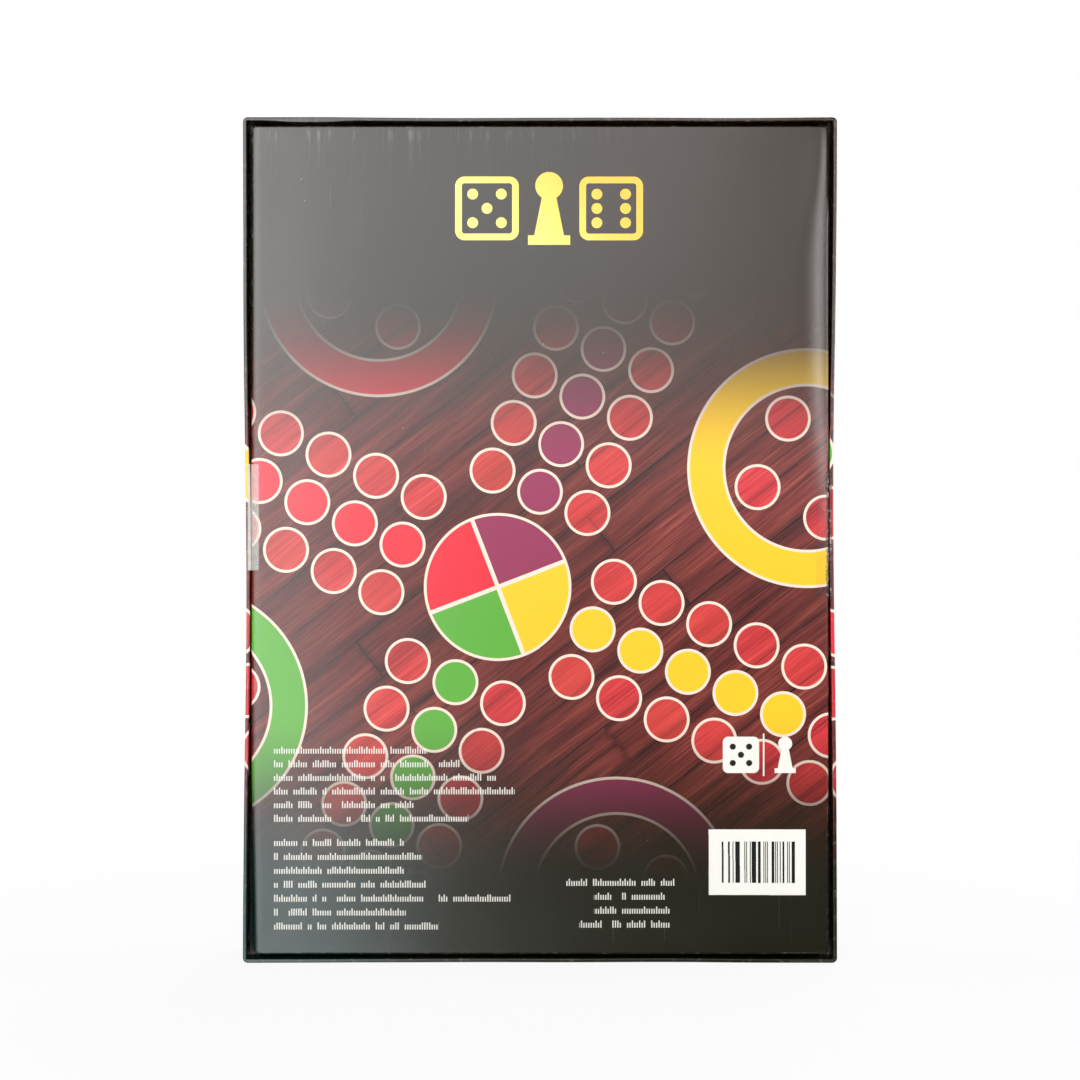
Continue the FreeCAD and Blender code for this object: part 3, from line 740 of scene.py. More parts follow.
insert_low, insert_high = place_of("insert_platform")
half_card = INSERT_CARD / 2
deck_y, bay_floor_y = insert_high[1] - half_card, insert_low[1] + half_card
insert_path = bent_path(
    [
        (insert_low[0] + half_card, insert_low[1]),
        (insert_low[0] + half_card, deck_y),
        (BAY_LEFT - half_card, deck_y),
        (BAY_LEFT - half_card, bay_floor_y),
        (insert_high[0] - half_card, bay_floor_y),
        (insert_high[0] - half_card, insert_low[1] + INSERT_UPSTAND),
    ],
    INSERT_BEND,
)
insert = strip(
    "insert", insert_path, INSERT_CARD, insert_low[2], insert_high[2], INSERT_STEPS,
    [white_card(), grey_edge()],
)


def stamp_notch(piece, cutter_points):
    """Cuts a round notch through a piece and leaves it a plain mesh."""
    sides = len(cutter_points) // 2
    faces = [list(range(sides)), list(range(sides, 2 * sides))]
    faces += [[k, (k + 1) % sides, sides + (k + 1) % sides, sides + k] for k in range(sides)]
    cutter = mesh_object("notch_cutter", cutter_points, faces, [])
    cut = piece.modifiers.new("notch", "BOOLEAN")
    cut.operation = "DIFFERENCE"
    cut.solver = "EXACT"
    cut.object = cutter
    shaped = bpy.data.meshes.new_from_object(piece.evaluated_get(bpy.context.evaluated_depsgraph_get()))
    piece.modifiers.remove(cut)
    piece.data = shaped
    bpy.data.objects.remove(cutter)
    shaped.set_sharp_from_angle(angle=SHARP_ANGLE)


notch_z = (insert_low[2] + insert_high[2]) / 2
notch_turn = np.linspace(0, 2 * math.pi, NOTCH_SIDES, endpoint=False)
notch_x = BAY_LEFT + NOTCH_RADIUS * np.cos(notch_turn)
notch_ring = notch_z + NOTCH_RADIUS * np.sin(notch_turn)
notch_levels = (insert_high[1] - NOTCH_DEPTH, insert_high[1] + NOTCH_DEPTH)
stamp_notch(insert, [(px, level, pz) for level in notch_levels for px, pz in zip(notch_x, notch_ring)])
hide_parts("insert_platform")
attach(insert, "tray")

# Folding board
# Two halves of grey board wrapped in black grained paper, each with the printed field glued on its inner
# face. They lie face to face on the platform, and a strip of black book cloth round the spine joins them.
CORE_ROUND = 0.45
BOARD_MARGIN = 5.0
TAPE_THICK, TAPE_STEPS = 0.2, 60
THREAD_PITCH = 0.55


def slab(name, low, high, radius, materials):
    """A flat slab with every edge rounded."""
    shape = bmesh.new()
    bmesh.ops.create_cube(shape, size=1.0)
    for vertex in shape.verts:
        vertex.co = Vector((low + high) / 2 + np.array(vertex.co) * (high - low)) * MM
    bmesh.ops.bevel(shape, geom=shape.edges[:], offset=radius * MM, segments=4, affect="EDGES", profile=0.5)
    mesh = plain_mesh(name, np.empty((0, 3)), [], materials)
    bmesh.ops.recalc_face_normals(shape, faces=shape.faces)
    shape.to_mesh(mesh)
    shape.free()
    return smooth_piece(name, mesh)


def black_paper(low, high):
    finish = Finish("board_black_paper")
    x, _, z = finish.place()
    sockets = {"Vector": finish.spot(), "Scale": 1.3}
    pebble = finish.add("ShaderNodeTexVoronoi", {"feature": "SMOOTH_F1"}, sockets, "Distance")
    mottle = finish.blobs(20, 4)
    to_side = (x - low[0]).least(high[0] - x)
    to_end = (z - low[2]).least(high[2] - z)
    near_edge = 1 - to_side.least(to_end).rise(0.2, 1.1)
    rubbed = near_edge * finish.blobs(5, 4).rise(0.45, 0.7)
    colour = finish.mix(mottle * 0.5 + pebble * 0.3, ink(18, 18, 18), ink(40, 39, 38))
    colour = finish.mix(rubbed * 0.5, colour, ink(120, 114, 106))
    finish.surface({"Base Color": colour, "Roughness": 0.52 + pebble * 0.2})
    finish.relief(pebble, 0.12, 0.7)
    return finish.material


def board_print(name, fold_x, way, middle_z, reach):
    """The field: planks under a ludo cross that is centred on the fold, in a cream border."""
    finish = Finish(name)
    x, _, z = finish.place()
    u, v = (x - fold_x) * way, z - middle_z
    wood, stain = planks(finish, u, v, 0)
    arms = (GREEN, YELLOW, RED, PURPLE)
    yards = (YELLOW, RED, PURPLE, GREEN)
    colour = ludo_cross(finish, u, v, STEP, arms, yards, wood, stain)
    to_border = abs(abs(u).most(abs(v)) - (reach - BOARD_MARGIN / 2))
    colour = finish.mix(to_border.under(RING / 2), colour, CREAM)
    cloud = finish.blobs(40, 3)
    linen = finish.blobs((0.35, 1, 2.4), 1) + finish.blobs((2.4, 1, 0.35), 1)
    finish.surface({"Base Color": colour, "Roughness": 0.36 + cloud * 0.14, "IOR": 1.42})
    finish.relief(linen * 0.5 + cloud * 0.4, 0.08, 0.5)
    return finish.material


base_low, base_high = place_of("board_core_base")
_, leaf_high = place_of("board_core_leaf")
tape_low, tape_high = place_of("board_hinge_tape")
fold_y = (base_low[1] + leaf_high[1]) / 2
tape_radius = (tape_high[1] - tape_low[1]) / 2 - TAPE_THICK / 2
fold_x = tape_low[0] + TAPE_THICK / 2 + tape_radius
board_middle_z = (base_low[2] + base_high[2]) / 2
board_reach = (base_high[2] - base_low[2]) / 2

core_paper = black_paper(base_low, base_high)
for half, node in (("board_base", "board_core_base"), ("board_leaf", "board_core_leaf")):
    core = slab(node + "_board", *place_of(node), CORE_ROUND, [core_paper])
    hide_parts(node)
    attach(core, half)

field_base = board_print("board_field_base", fold_x, 1, board_middle_z, board_reach)
field_leaf = board_print("board_field_leaf", fold_x, -1, board_middle_z, board_reach)
for half, node, field in (
    ("board_base", "board_print_base", field_base),
    ("board_leaf", "board_print_leaf", field_leaf),
):
    low, high = place_of(node)
    paper = slab(node + "_paper", low, high, (high[1] - low[1]) * 0.3, [field])
    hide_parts(node)
    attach(paper, half)


def book_cloth():
    finish = Finish("hinge_book_cloth")
    x, _, z = finish.place()
    warp = abs((x / THREAD_PITCH) % 1 - 0.5)
    weft = abs((z / THREAD_PITCH) % 1 - 0.5)
    over = (math.floor(x / THREAD_PITCH) + math.floor(z / THREAD_PITCH)) % 2
    thread = over * (1 - warp * 2) + (1 - over) * (1 - weft * 2)
    worn = finish.blobs((6, 6, 14), 4).rise(0.5, 0.75)
    # The colour follows the weave, light along each thread's crown and darkest where threads meet: painted
    # shade between the threads, over the same weave in the relief.
    colour = finish.mix(thread, ink(10, 10, 11), ink(38, 37, 38))
    colour = finish.mix(worn * 0.3, colour, ink(96, 92, 88))
    finish.surface({"Base Color": colour, "Roughness": 0.78})
    finish.relief(thread, 0.12, 0.8)
    return finish.material


turns = np.linspace(-math.pi / 2, -math.pi * 1.5, 25)
web = np.stack([fold_x + tape_radius * np.cos(turns), fold_y + tape_radius * np.sin(turns)], -1)
flange = np.linspace(tape_high[0], fold_x, 9)[:-1]
lower = np.stack([flange, np.full_like(flange, fold_y - tape_radius)], -1)
upper = np.stack([flange[::-1], np.full_like(flange, fold_y + tape_radius)], -1)
tape_path = np.concatenate([lower, web, upper])
tape = strip(
    "hinge_tape", tape_path, TAPE_THICK, tape_low[2], tape_high[2], TAPE_STEPS, [book_cloth()]
)
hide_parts("board_hinge_tape")
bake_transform(tape)

# Instruction sheet
# One leaf of thin offset paper, printed in grey on both sides and creased once across, laid loose on the
# folded board under the lid.
PAPER_THICK = 0.12
SHEET_STEPS = (32, 46)
SHEET_MARGIN, GUTTER_HALF = 9.0, 3.0
HEADING_HALF, HEADING_DROP = (24.0, 2.4), 5.0
BLOCK_DROPS, BLOCK_PITCH, BLOCK_LINES = (16.0, 106.0), 3.4, 16
DIAGRAM_DROP, DIAGRAM_HALF, DIAGRAM_LINE = 89.0, 14.0, 0.4
DIAGRAM_ARM_SHARE = 0.2
CREASE_REACH = 16.0
sheet_low, sheet_high = place_of("instruction_sheet")


def instruction_print():
    finish = Finish("instruction_print")
    x, _, z = finish.place()
    left, right = sheet_low[0] + SHEET_MARGIN, sheet_high[0] - SHEET_MARGIN
    gutter = (left + right) / 2
    fibre = finish.blobs((0.6, 1, 0.6), 4, 0.7)
    cloud = finish.blobs((30, 1, 30), 2)
    colour = finish.mix(cloud * 0.5 + fibre * 0.2, ink(244, 242, 235), ink(226, 223, 213))
    top = sheet_high[2] - SHEET_MARGIN
    bars = abs(z - (top - HEADING_DROP)).under(HEADING_HALF[1]) * abs(x - gutter).under(HEADING_HALF[0])
    columns = ((left, gutter - GUTTER_HALF), (gutter + GUTTER_HALF, right))
    for start, end in columns:
        for drop in BLOCK_DROPS:
            block = small_print(finish, x, z, start, end, top - drop, BLOCK_PITCH, BLOCK_LINES)
            bars = bars.most(block)
    colour = finish.mix(bars * 0.8, colour, ink(58, 58, 62))
    arm = DIAGRAM_HALF * DIAGRAM_ARM_SHARE
    for start, end in columns:
        middle = ((start + end) / 2, top - DIAGRAM_DROP)
        u, v = x - middle[0], z - middle[1]
        outline = rounded_square(x, z, middle, DIAGRAM_HALF, 2.0)
        line = outline.under(0) * (1 - outline.under(-DIAGRAM_LINE))
        from_axis = abs(u).least(abs(v))
        bands = from_axis.under(arm) * (1 - from_axis.under(arm - DIAGRAM_LINE))
        home = (u.reach(v) - arm).under(0)
        drawn = line.most(bands * outline.under(0)).most(home)
        colour = finish.mix(drawn * 0.75, colour, ink(70, 70, 74))
    finish.surface({"Base Color": colour, "Roughness": 0.82})
    finish.relief(fibre * 0.5 + cloud, 0.05, 0.4)
    return finish.material


def crease(x, y, z):
    """A shallow fold across the sheet's middle, and a lazy wave along it."""
    middle = (sheet_low[2] + sheet_high[2]) / 2
    room = (sheet_high[1] - sheet_low[1] - PAPER_THICK) / 2
    fold = max(0.0, 1 - abs(z - middle) / CREASE_REACH)
    return room * (0.75 * fold - 0.2 * math.cos(x / 30) - 0.05 * math.sin(z / 23))


sheet_y = (sheet_low[1] + sheet_high[1]) / 2
sheet_x = np.linspace(sheet_low[0], sheet_high[0], SHEET_STEPS[0] + 1)
sheet_path = np.stack([sheet_x, np.full_like(sheet_x, sheet_y)], -1)
leaflet = strip(
    "instruction_leaflet", sheet_path, PAPER_THICK, sheet_low[2], sheet_high[2], SHEET_STEPS[1],
    [instruction_print()], crease,
)
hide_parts("instruction_sheet")
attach(leaflet, "sheet")

# Playing pegs
# Sixteen pegs moulded in coloured polystyrene, four to a colour: a round foot, hollow underneath, a skirt
# that narrows to a neck, and a ball on top. They lie in the bay in two rows, head to head.
PEG_FOOT, PEG_FOOT_THICK, PEG_FOOT_ROUND = 6.0, 2.4, 0.7
PEG_HEIGHT, PEG_BALL = 23.0, 3.6
PEG_SKIRT, PEG_NECK = 4.6, 2.35
PEG_HOLLOW, PEG_HOLLOW_DEEP = 4.1, 3.2
PEG_SIDES, PEG_ROUGH = 56, 0.24
PEG_SKIRT_CURVE, PEG_WELD, PEG_TURNING_RADIUS = 1.45, 0.01, 10.0
PEG_COLOURS = {
    "red": (ink(206, 24, 36), ink(168, 12, 24)),
    "green": (ink(52, 150, 58), ink(28, 112, 40)),
    "yellow": (ink(248, 194, 24), ink(222, 156, 8)),
    "purple": (ink(128, 42, 118), ink(92, 22, 88)),
}


def arc_points(centre, radius, first, last, steps):
    turns = np.radians(np.linspace(first, last, steps + 1))
    return [(centre[0] + radius * math.cos(a), centre[1] + radius * math.sin(a)) for a in turns]


def peg_profile():
    """Half of a peg's section, from the middle of the hollow, round the foot and up to the ball's top."""
    ball_y = PEG_HEIGHT - PEG_BALL
    neck_drop = math.sqrt(PEG_BALL**2 - PEG_NECK**2)
    neck_angle = -math.degrees(math.asin(neck_drop / PEG_BALL))
    lip, fillet = 0.25, 0.6
    points = [(0, PEG_HOLLOW_DEEP)]
    points += arc_points((PEG_HOLLOW - lip, PEG_HOLLOW_DEEP - lip), lip, 90, 0, 3)
    points += arc_points((PEG_HOLLOW + lip, lip), lip, 180, 270, 3)
    round_x = PEG_FOOT - PEG_FOOT_ROUND
    points += arc_points((round_x, PEG_FOOT_ROUND), PEG_FOOT_ROUND, -90, 0, 5)
    points += arc_points((round_x, PEG_FOOT_THICK - PEG_FOOT_ROUND), PEG_FOOT_ROUND, 0, 90, 5)
    points += arc_points((PEG_SKIRT + fillet, PEG_FOOT_THICK + fillet), fillet, 270, 190, 4)
    for share in np.linspace(0.12, 1, 12):
        height = PEG_FOOT_THICK + fillet + (ball_y - neck_drop - PEG_FOOT_THICK - fillet) * share
        points.append((PEG_NECK + (PEG_SKIRT - PEG_NECK) * (1 - share) ** PEG_SKIRT_CURVE, height))
    points += arc_points((0, ball_y), PEG_BALL, neck_angle, 90, 16)[1:]
    return points


def turning_tree():
    """Geometry nodes that turn a half section round the Z axis, as on a lathe."""
    tree = bpy.data.node_groups.new("turned_piece", "GeometryNodeTree")
    inputs = (
        ("Half Section", "NodeSocketGeometry"),
        ("Sides", "NodeSocketInt"),
        ("Turning Radius", "NodeSocketFloat"),
        ("Finish", "NodeSocketMaterial"),
    )
    for name, kind in inputs:
        tree.interface.new_socket(name, in_out="INPUT", socket_type=kind)
    tree.interface.new_socket("Turned Piece", in_out="OUTPUT", socket_type="NodeSocketGeometry")
    given, made = tree.nodes.new("NodeGroupInput"), tree.nodes.new("NodeGroupOutput")
    kinds = ("CurvePrimitiveCircle", "CurveToMesh", "MergeByDistance", "RealizeInstances", "SetMaterial")
    circle, sweep, weld, realise, dress = (tree.nodes.new("GeometryNode" + kind) for kind in kinds)
    weld.inputs["Distance"].default_value = PEG_WELD * MM
    for source, output, target, into in (
        (given, "Sides", circle, "Resolution"),
        (given, "Turning Radius", circle, "Radius"),
        (circle, "Curve", sweep, "Curve"),
        (given, "Half Section", sweep, "Profile Curve"),
        (sweep, "Mesh", weld, "Geometry"),
        (weld, "Geometry", realise, "Geometry"),
        (realise, "Geometry", dress, "Geometry"),
        (given, "Finish", dress, "Material"),
        (dress, "Geometry", made, "Turned Piece"),
    ):
        tree.links.new(source.outputs[output], target.inputs[into])
    return tree


def turned_mesh(name, profile, sides, material, tree):
    """The plain mesh of a turned piece, standing on the origin along Z."""
    radius = PEG_TURNING_RADIUS * MM
    curve = bpy.data.curves.new(name + "_section", "CURVE")
    curve.dimensions = "2D"
    spline = curve.splines.new("POLY")
    spline.points.add(len(profile) - 1)
    for point, (out, height) in zip(spline.points, profile):
        point.co = (out * MM - radius, -height * MM, 0, 1)
    holder = bpy.data.objects.new(name + "_section", curve)
    bpy.context.scene.collection.objects.link(holder)
    lathe = holder.modifiers.new("lathe", "NODES")
    lathe.node_group = tree
    values = {"Sides": sides, "Turning Radius": radius, "Finish": material}
    for item in tree.interface.items_tree:
        if item.in_out == "INPUT" and item.name in values:
            lathe[item.identifier] = values[item.name]
    mesh = bpy.data.meshes.new_from_object(holder.evaluated_get(bpy.context.evaluated_depsgraph_get()))
    holder.modifiers.remove(lathe)
    bpy.data.objects.remove(holder)
    bpy.data.curves.remove(curve)
    face_outwards(mesh, weld=None)
    return mesh


def moulded_plastic(name, tint, deep, rough):
    finish = Finish(name)
    flow = finish.blobs(7, 3)
    scratch = finish.blobs((0.5, 0.5, 4), 3).rise(0.6, 0.8)
    finish.surface({
        "Base Color": finish.mix(flow * 0.9, tint, deep),
        "Roughness": rough + flow * 0.1 + scratch * 0.14,
        "Subsurface Weight": 0.08,
        "Subsurface Scale": 1.5 * MM,
    })
    finish.relief(flow + scratch * 0.1, 0.05, 0.5)
    return finish.material


peg_tree = turning_tree()
peg_rolls = random.Random(7)
for colour, tints in PEG_COLOURS.items():
    peg_plastic = moulded_plastic(f"peg_{colour}_plastic", *tints, PEG_ROUGH)
    for count in range(1, 5):
        node = f"peg_{colour}_{count}"
        low, high = place_of(node)
        head_right = count % 2 == 1
        way = 1 if head_right else -1
        seat = ((low[0] if head_right else high[0]), (low[1] + high[1]) / 2, (low[2] + high[2]) / 2)
        mesh = turned_mesh(node + "_turned", peg_profile(), PEG_SIDES, peg_plastic, peg_tree)
        lying = Matrix(((0, 0, way), (way, 0, 0), (0, 1, 0))).to_4x4()
        roll = Matrix.Rotation(peg_rolls.uniform(0, 2 * math.pi), 4, "Z")
        mesh.transform(Matrix.Translation(Vector(seat) * MM) @ lying @ roll)
        peg = smooth_piece(node + "_moulded", mesh)
        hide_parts(node)
        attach(peg, node)

# Dice
# Two dice moulded in ivory white plastic, tumbled until their edges are round. The pips are dimples filled
# with black paint, and opposite faces add up to seven.
DIE_ROUND = 1.7
DIE_PIP, DIE_PIP_DEEP = 1.3, 0.55
DIE_STEPS = 72
DIE_PIP_SHARE = 0.25
PIPS = {
    1: [(0, 0)],
    2: [(-1, -1), (1, 1)],
    3: [(-1, -1), (0, 0), (1, 1)],
    4: [(-1, -1), (-1, 1), (1, -1), (1, 1)],
    5: [(-1, -1), (-1, 1), (1, -1), (1, 1), (0, 0)],
    6: [(-1, -1), (-1, 0), (-1, 1), (1, -1), (1, 0), (1, 1)],
}
DIE_FACES = ((1, 1, 1), (0, 1, 2), (2, 1, 3), (2, -1, 4), (0, -1, 5), (1, -1, 6))


def ivory_plastic():
    finish = Finish("die_ivory_plastic")
    from_pip = finish.add("ShaderNodeAttribute", {"attribute_name": "from_pip"}, {}, "Fac")
    painted = from_pip.under(DIE_PIP * 0.96)
    flow = finish.blobs(6, 3)
    scratch = finish.blobs((0.4, 3, 0.4), 3).rise(0.6, 0.8)
    ivory = finish.mix(flow, ink(242, 236, 218), ink(226, 216, 192))
    colour = finish.mix(painted, ivory, finish.mix(flow, ink(14, 14, 15), ink(30, 29, 28)))
    finish.surface({
        "Base Color": colour,
        "Roughness": 0.2 + flow * 0.08 + scratch * 0.14 + painted * 0.22,
        "Subsurface Weight": 0.1,
        "Subsurface Scale": 1.5 * MM,
    })
    finish.relief(scratch, 0.01, 0.4)
    return finish.material


def die_face(axis, way, count, middle, half):
    """One face of a die as a grid of points, rounded at its edges and dimpled, with its distance to a pip."""
    places = side_places(half, DIE_ROUND, DIE_STEPS)
    a, b = np.meshgrid(places, places, indexing="ij")
    sharp = np.zeros((*a.shape, 3))
    sharp[..., axis] = way * half
    sharp[..., (axis + 1) % 3] = a
    sharp[..., (axis + 2) % 3] = b
    core = np.clip(sharp, DIE_ROUND - half, half - DIE_ROUND)
    out = (sharp - core) / np.linalg.norm(sharp - core, axis=-1, keepdims=True)
    apart = DIE_PIP_SHARE * 2 * half
    gaps = [np.hypot(a - apart * i, b - apart * j) for i, j in PIPS[count]]
    from_pip = np.min(gaps, axis=0)
    dip = DIE_PIP_DEEP * np.clip(1 - (from_pip / DIE_PIP) ** 2, 0, 1) ** 0.8
    return core + out * (DIE_ROUND - dip)[..., None] + middle, from_pip


def die_piece(name, low, high, material):
    middle, half = (low + high) / 2, (high[0] - low[0]) / 2
    points, faces, gaps = [], [], []
    for axis, way, count in DIE_FACES:
        grid, from_pip = die_face(axis, way, count, middle, half)
        side = len(grid)
        corners = len(points) * side * side + np.arange(side * side).reshape(side, side)
        quads = np.stack([corners[:-1, :-1], corners[1:, :-1], corners[1:, 1:], corners[:-1, 1:]], -1)
        faces += quads.reshape(-1, 4).tolist()
        points.append(grid.reshape(-1, 3))
        gaps.append(from_pip.ravel())
    mesh = plain_mesh(name, np.concatenate(points), faces, [material])
    mesh.attributes.new("from_pip", "FLOAT", "POINT").data.foreach_set("value", np.concatenate(gaps))
    face_outwards(mesh)
    return smooth_piece(name, mesh, creased=False)


die_plastic = ivory_plastic()
for node in ("die_left", "die_right"):
    die = die_piece(node + "_moulded", *place_of(node), die_plastic)
    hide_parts(node)
    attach(die, node)

# Lid
# The top half of the box, made as the tray is and as deep, so that its rim stands level with the tray's
# panel. Its wrap carries the same picture on a larger scale over the front and down the sides.
LID_WALL, LID_PANEL = 1.2, 0.8
LID_FOLD, LID_RIM, LID_CORNER = 0.8, 0.25, 1.6
LID_WALL_STEPS = 10
LID_PANEL_STEPS = (48, 70)
LID_STEP = 20.6
LID_PICTURE_MIDDLE = (6.0, 132.0)
LID_PICTURE_TILT = 17.0
LID_EMBLEM_MIDDLE, LID_EMBLEM_APART, LID_EMBLEM_SHEEN = (0.0, 242.0), 26.0, 40.0
LID_EMBLEM_HALF, LID_EMBLEM_LINE, LID_EMBLEM_PEG_HALF = 15.0, 2.8, 17.0
LID_PICTURE_FOOT, LID_PICTURE_TOP = (24.0, 74.0), (168.0, 206.0)
LID_BOWS = {-1: (126.0, 1.1), 1: (150.0, 1.25)}
LID_BOW_REACH = 110.0
LID_SIDE_WAVE, LID_END_WAVE, LID_WAVE_LENGTH = 0.15, 0.4, 52.0
LID_STIFF_REACH, LID_WALL_SLACK = 40.0, 0.1
DENT_PLACE, DENT_WIDTH, DENT_DEPTH = -76.0, 11.0, 0.7
lid_low, lid_high = place_of("lid_shell")


def printed_lid():
    finish = Finish("lid_wrap_print")
    x, y, z = finish.place()
    across, up = unfolded(x, y, z, lid_low, lid_high, lid_high[1])
    arms = (RED, GREEN, YELLOW, PURPLE)
    yards = (GREEN, RED, PURPLE, YELLOW)
    picture = box_picture(finish, across, up, LID_PICTURE_MIDDLE, LID_PICTURE_TILT, LID_STEP, arms, yards)
    colour = faded_print(finish, across, up, picture, LID_PICTURE_FOOT, LID_PICTURE_TOP)
    emblem = emblem_mark(
        across, up, LID_EMBLEM_MIDDLE, LID_EMBLEM_HALF, LID_EMBLEM_APART, LID_EMBLEM_LINE, LID_EMBLEM_PEG_HALF
    )
    sheen = (up - across - LID_EMBLEM_MIDDLE[1]).rise(-LID_EMBLEM_SHEEN, LID_EMBLEM_SHEEN)
    colour = finish.mix(emblem, colour, finish.mix(sheen, GOLD_DEEP, GOLD_PALE))
    near_rim = 1 - (y - lid_low[1]).rise(0.3, 1.2)
    to_side, to_end = inside_edges(x, z, lid_low, lid_high)
    on_fold = 1 - to_side.most(to_end).rise(0.4, 1.4)
    tabs = to_side.under(WRAP_TAB) * to_end.under(LID_WALL / 2)
    laminate(finish, colour, near_rim.most(on_fold), tabs)
    return finish.material


def rim_share(y):
    """How near a point of the lid's walls is to the rim, from 0 at the panel to about 1."""
    return np.clip((lid_high[1] - LID_PANEL - y) / (lid_high[1] - lid_low[1]), 0, 1) ** 1.5


def wall_bow(way, y, z):
    """How far a long wall of the lid is drawn in: most at its rim, where the seal holds it to the tray."""
    place, depth = LID_BOWS[way]
    along = np.clip(np.abs(z - place) / LID_BOW_REACH, 0, 1)
    return depth * rim_share(y) * np.cos(along * math.pi / 2) ** 2


def settle_lid(points):
    """Walls that the seals and a little use have drawn in at the rim, with one swelling at the upper edge."""
    x, y, z = points.T.copy()
    middle_z = (lid_low[2] + lid_high[2]) / 2
    to_side, to_end = inside_edges(x, z, lid_low, lid_high)
    near_rim = rim_share(y)
    on_side = (to_side < LID_WALL + LID_WALL_SLACK) & (to_end > LID_CORNER)
    on_end = (to_end < LID_WALL + LID_WALL_SLACK) & (to_side > LID_CORNER)
    free_x, free_z = (np.clip(gap / LID_STIFF_REACH, 0, 1) for gap in (to_side, to_end))
    along_sides = [Vector((side, 1.3, pz / LID_WAVE_LENGTH)) for side, pz in zip(np.sign(x), z)]
    along_ends = [Vector((px / LID_WAVE_LENGTH, 5.1, end)) for end, px in zip(np.sign(z - middle_z), x)]
    wave_z, wave_x = (np.array([0.5 + noise.noise(p) for p in way]) for way in (along_sides, along_ends))
    bow = np.where(x < 0, wall_bow(-1, y, z), wall_bow(1, y, z))
    bow += near_rim * free_z * LID_SIDE_WAVE * np.clip(wave_z, 0, 1)
    points[:, 0] -= np.sign(x) * on_side * bow
    sag = near_rim * free_x * LID_END_WAVE * np.clip(wave_x, 0, 1)
    points[:, 2] -= np.sign(z - middle_z) * on_end * sag
    dent = DENT_DEPTH * np.exp(-(((x - DENT_PLACE) / DENT_WIDTH) ** 4)) * near_rim**4 * to_end / LID_WALL
    points[:, 2] -= on_end * (z > middle_z) * dent
    return points


lid_rows = box_rows(
    lid_high[1], lid_high[1] - LID_PANEL, lid_low[1], LID_WALL, LID_FOLD, LID_RIM, LID_WALL_STEPS
)
lid_lining = lining("lid_lining_paper", ink(240, 236, 228))
lid = card_box(
    "lid", lid_low, lid_high, lid_rows, LID_CORNER, LID_PANEL_STEPS, WRAP_TURN_IN,
    [printed_lid(), lid_lining], settle_lid,
)
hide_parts("lid_shell")
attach(lid, "lid")

# Seals
# Two pieces of clear tape stuck over the seam at mid height, from the lid's wall over its rim to the tray's
# panel. Each has been slit along the seam; the left one is hazy, and the right one torn to shreds there.
FILM_THICK, FILM_STEPS, FILM_PANEL_STEPS = 0.06, 90, 19
FILM_WALL_RUNS = 11
FILM_LIFT = 0.035
FILM_CRINKLE = 0.05
FILM_OVERHANG = 0.1
SEALS = {
    "left": {"way": -1, "over_seam": 0.42, "curl": 0.1, "look": {"haze": 0.27, "creases": 0.08, "torn": 0.0}},
    "right": {"way": 1, "over_seam": 0.1, "curl": 0.3, "look": {"haze": 0.03, "creases": 0.03, "torn": 0.9}},
}


def clear_film(name, haze, creases, torn):
    finish = Finish(name)
    x, _, _ = finish.place()
    wrinkle = finish.blobs((1.1, 1.1, 3.2), 4, 0.6)
    stress = finish.blobs((6, 6, 9), 3)
    shreds_and_painted_reflection = finish.blobs((1.1, 1.1, 1.3), 3, 0.65)
    past_edge = abs(x) - tray_high[0]
    at_slit = (1 - abs(past_edge - 0.1).rise(0.3, 1.3)) * torn
    colour = finish.mix(wrinkle, ink(226, 224, 218), ink(246, 245, 242))
    colour = finish.mix(torn, colour, ink(170, 152, 146))
    # Where the film is torn, patches are painted near black and are seen mostly at the slit: a painted
    # reflection of the dark seam under the film.
    colour = finish.mix((1 - shreds_and_painted_reflection.rise(0.54, 0.64)) * torn, colour, ink(34, 24, 22))
    on_lid = past_edge.rise(0.95, 1.2)
    over_gap = past_edge.rise(-0.3, 0.1) * (1 - on_lid)
    haze = haze * (0.8 + stress * 0.4) * (1 - on_lid * 0.8 + over_gap * 0.7)
    alpha = haze + wrinkle.rise(0.52, 0.72) * creases
    alpha = alpha.most(at_slit * abs(shreds_and_painted_reflection - 0.47).rise(0.02, 0.09))
    finish.surface({"Base Color": colour, "Roughness": 0.16 + wrinkle * 0.2, "Alpha": alpha})
    finish.relief(wrinkle, 0.3, 0.8)
    return finish.material


def crinkle(x, y, z):
    """Small lifts of the film where air is caught under it."""
    return FILM_CRINKLE * (1 + noise.noise(Vector((x / 1.6, y / 1.6, z / 3.5)))) / 2


def slit_edge(way, seam_x, curl):
    """As crinkle, with the cut edge curling down into the seam."""
    def lift(x, y, z):
        past = np.clip((way * x - seam_x) / curl, 0, 1)
        ragged = 0.5 + noise.noise(Vector((way, 2.5, z / 2.2)))
        return crinkle(x, y, z) * (1 - past) - past * curl * np.clip(ragged, 0, 1)
    return lift


def follow_wall(way):
    """Moves the film with the wall that it is stuck to."""
    def bend(points):
        points[:, 0] -= way * wall_bow(way, points[:, 1], points[:, 2])
        return points
    return bend


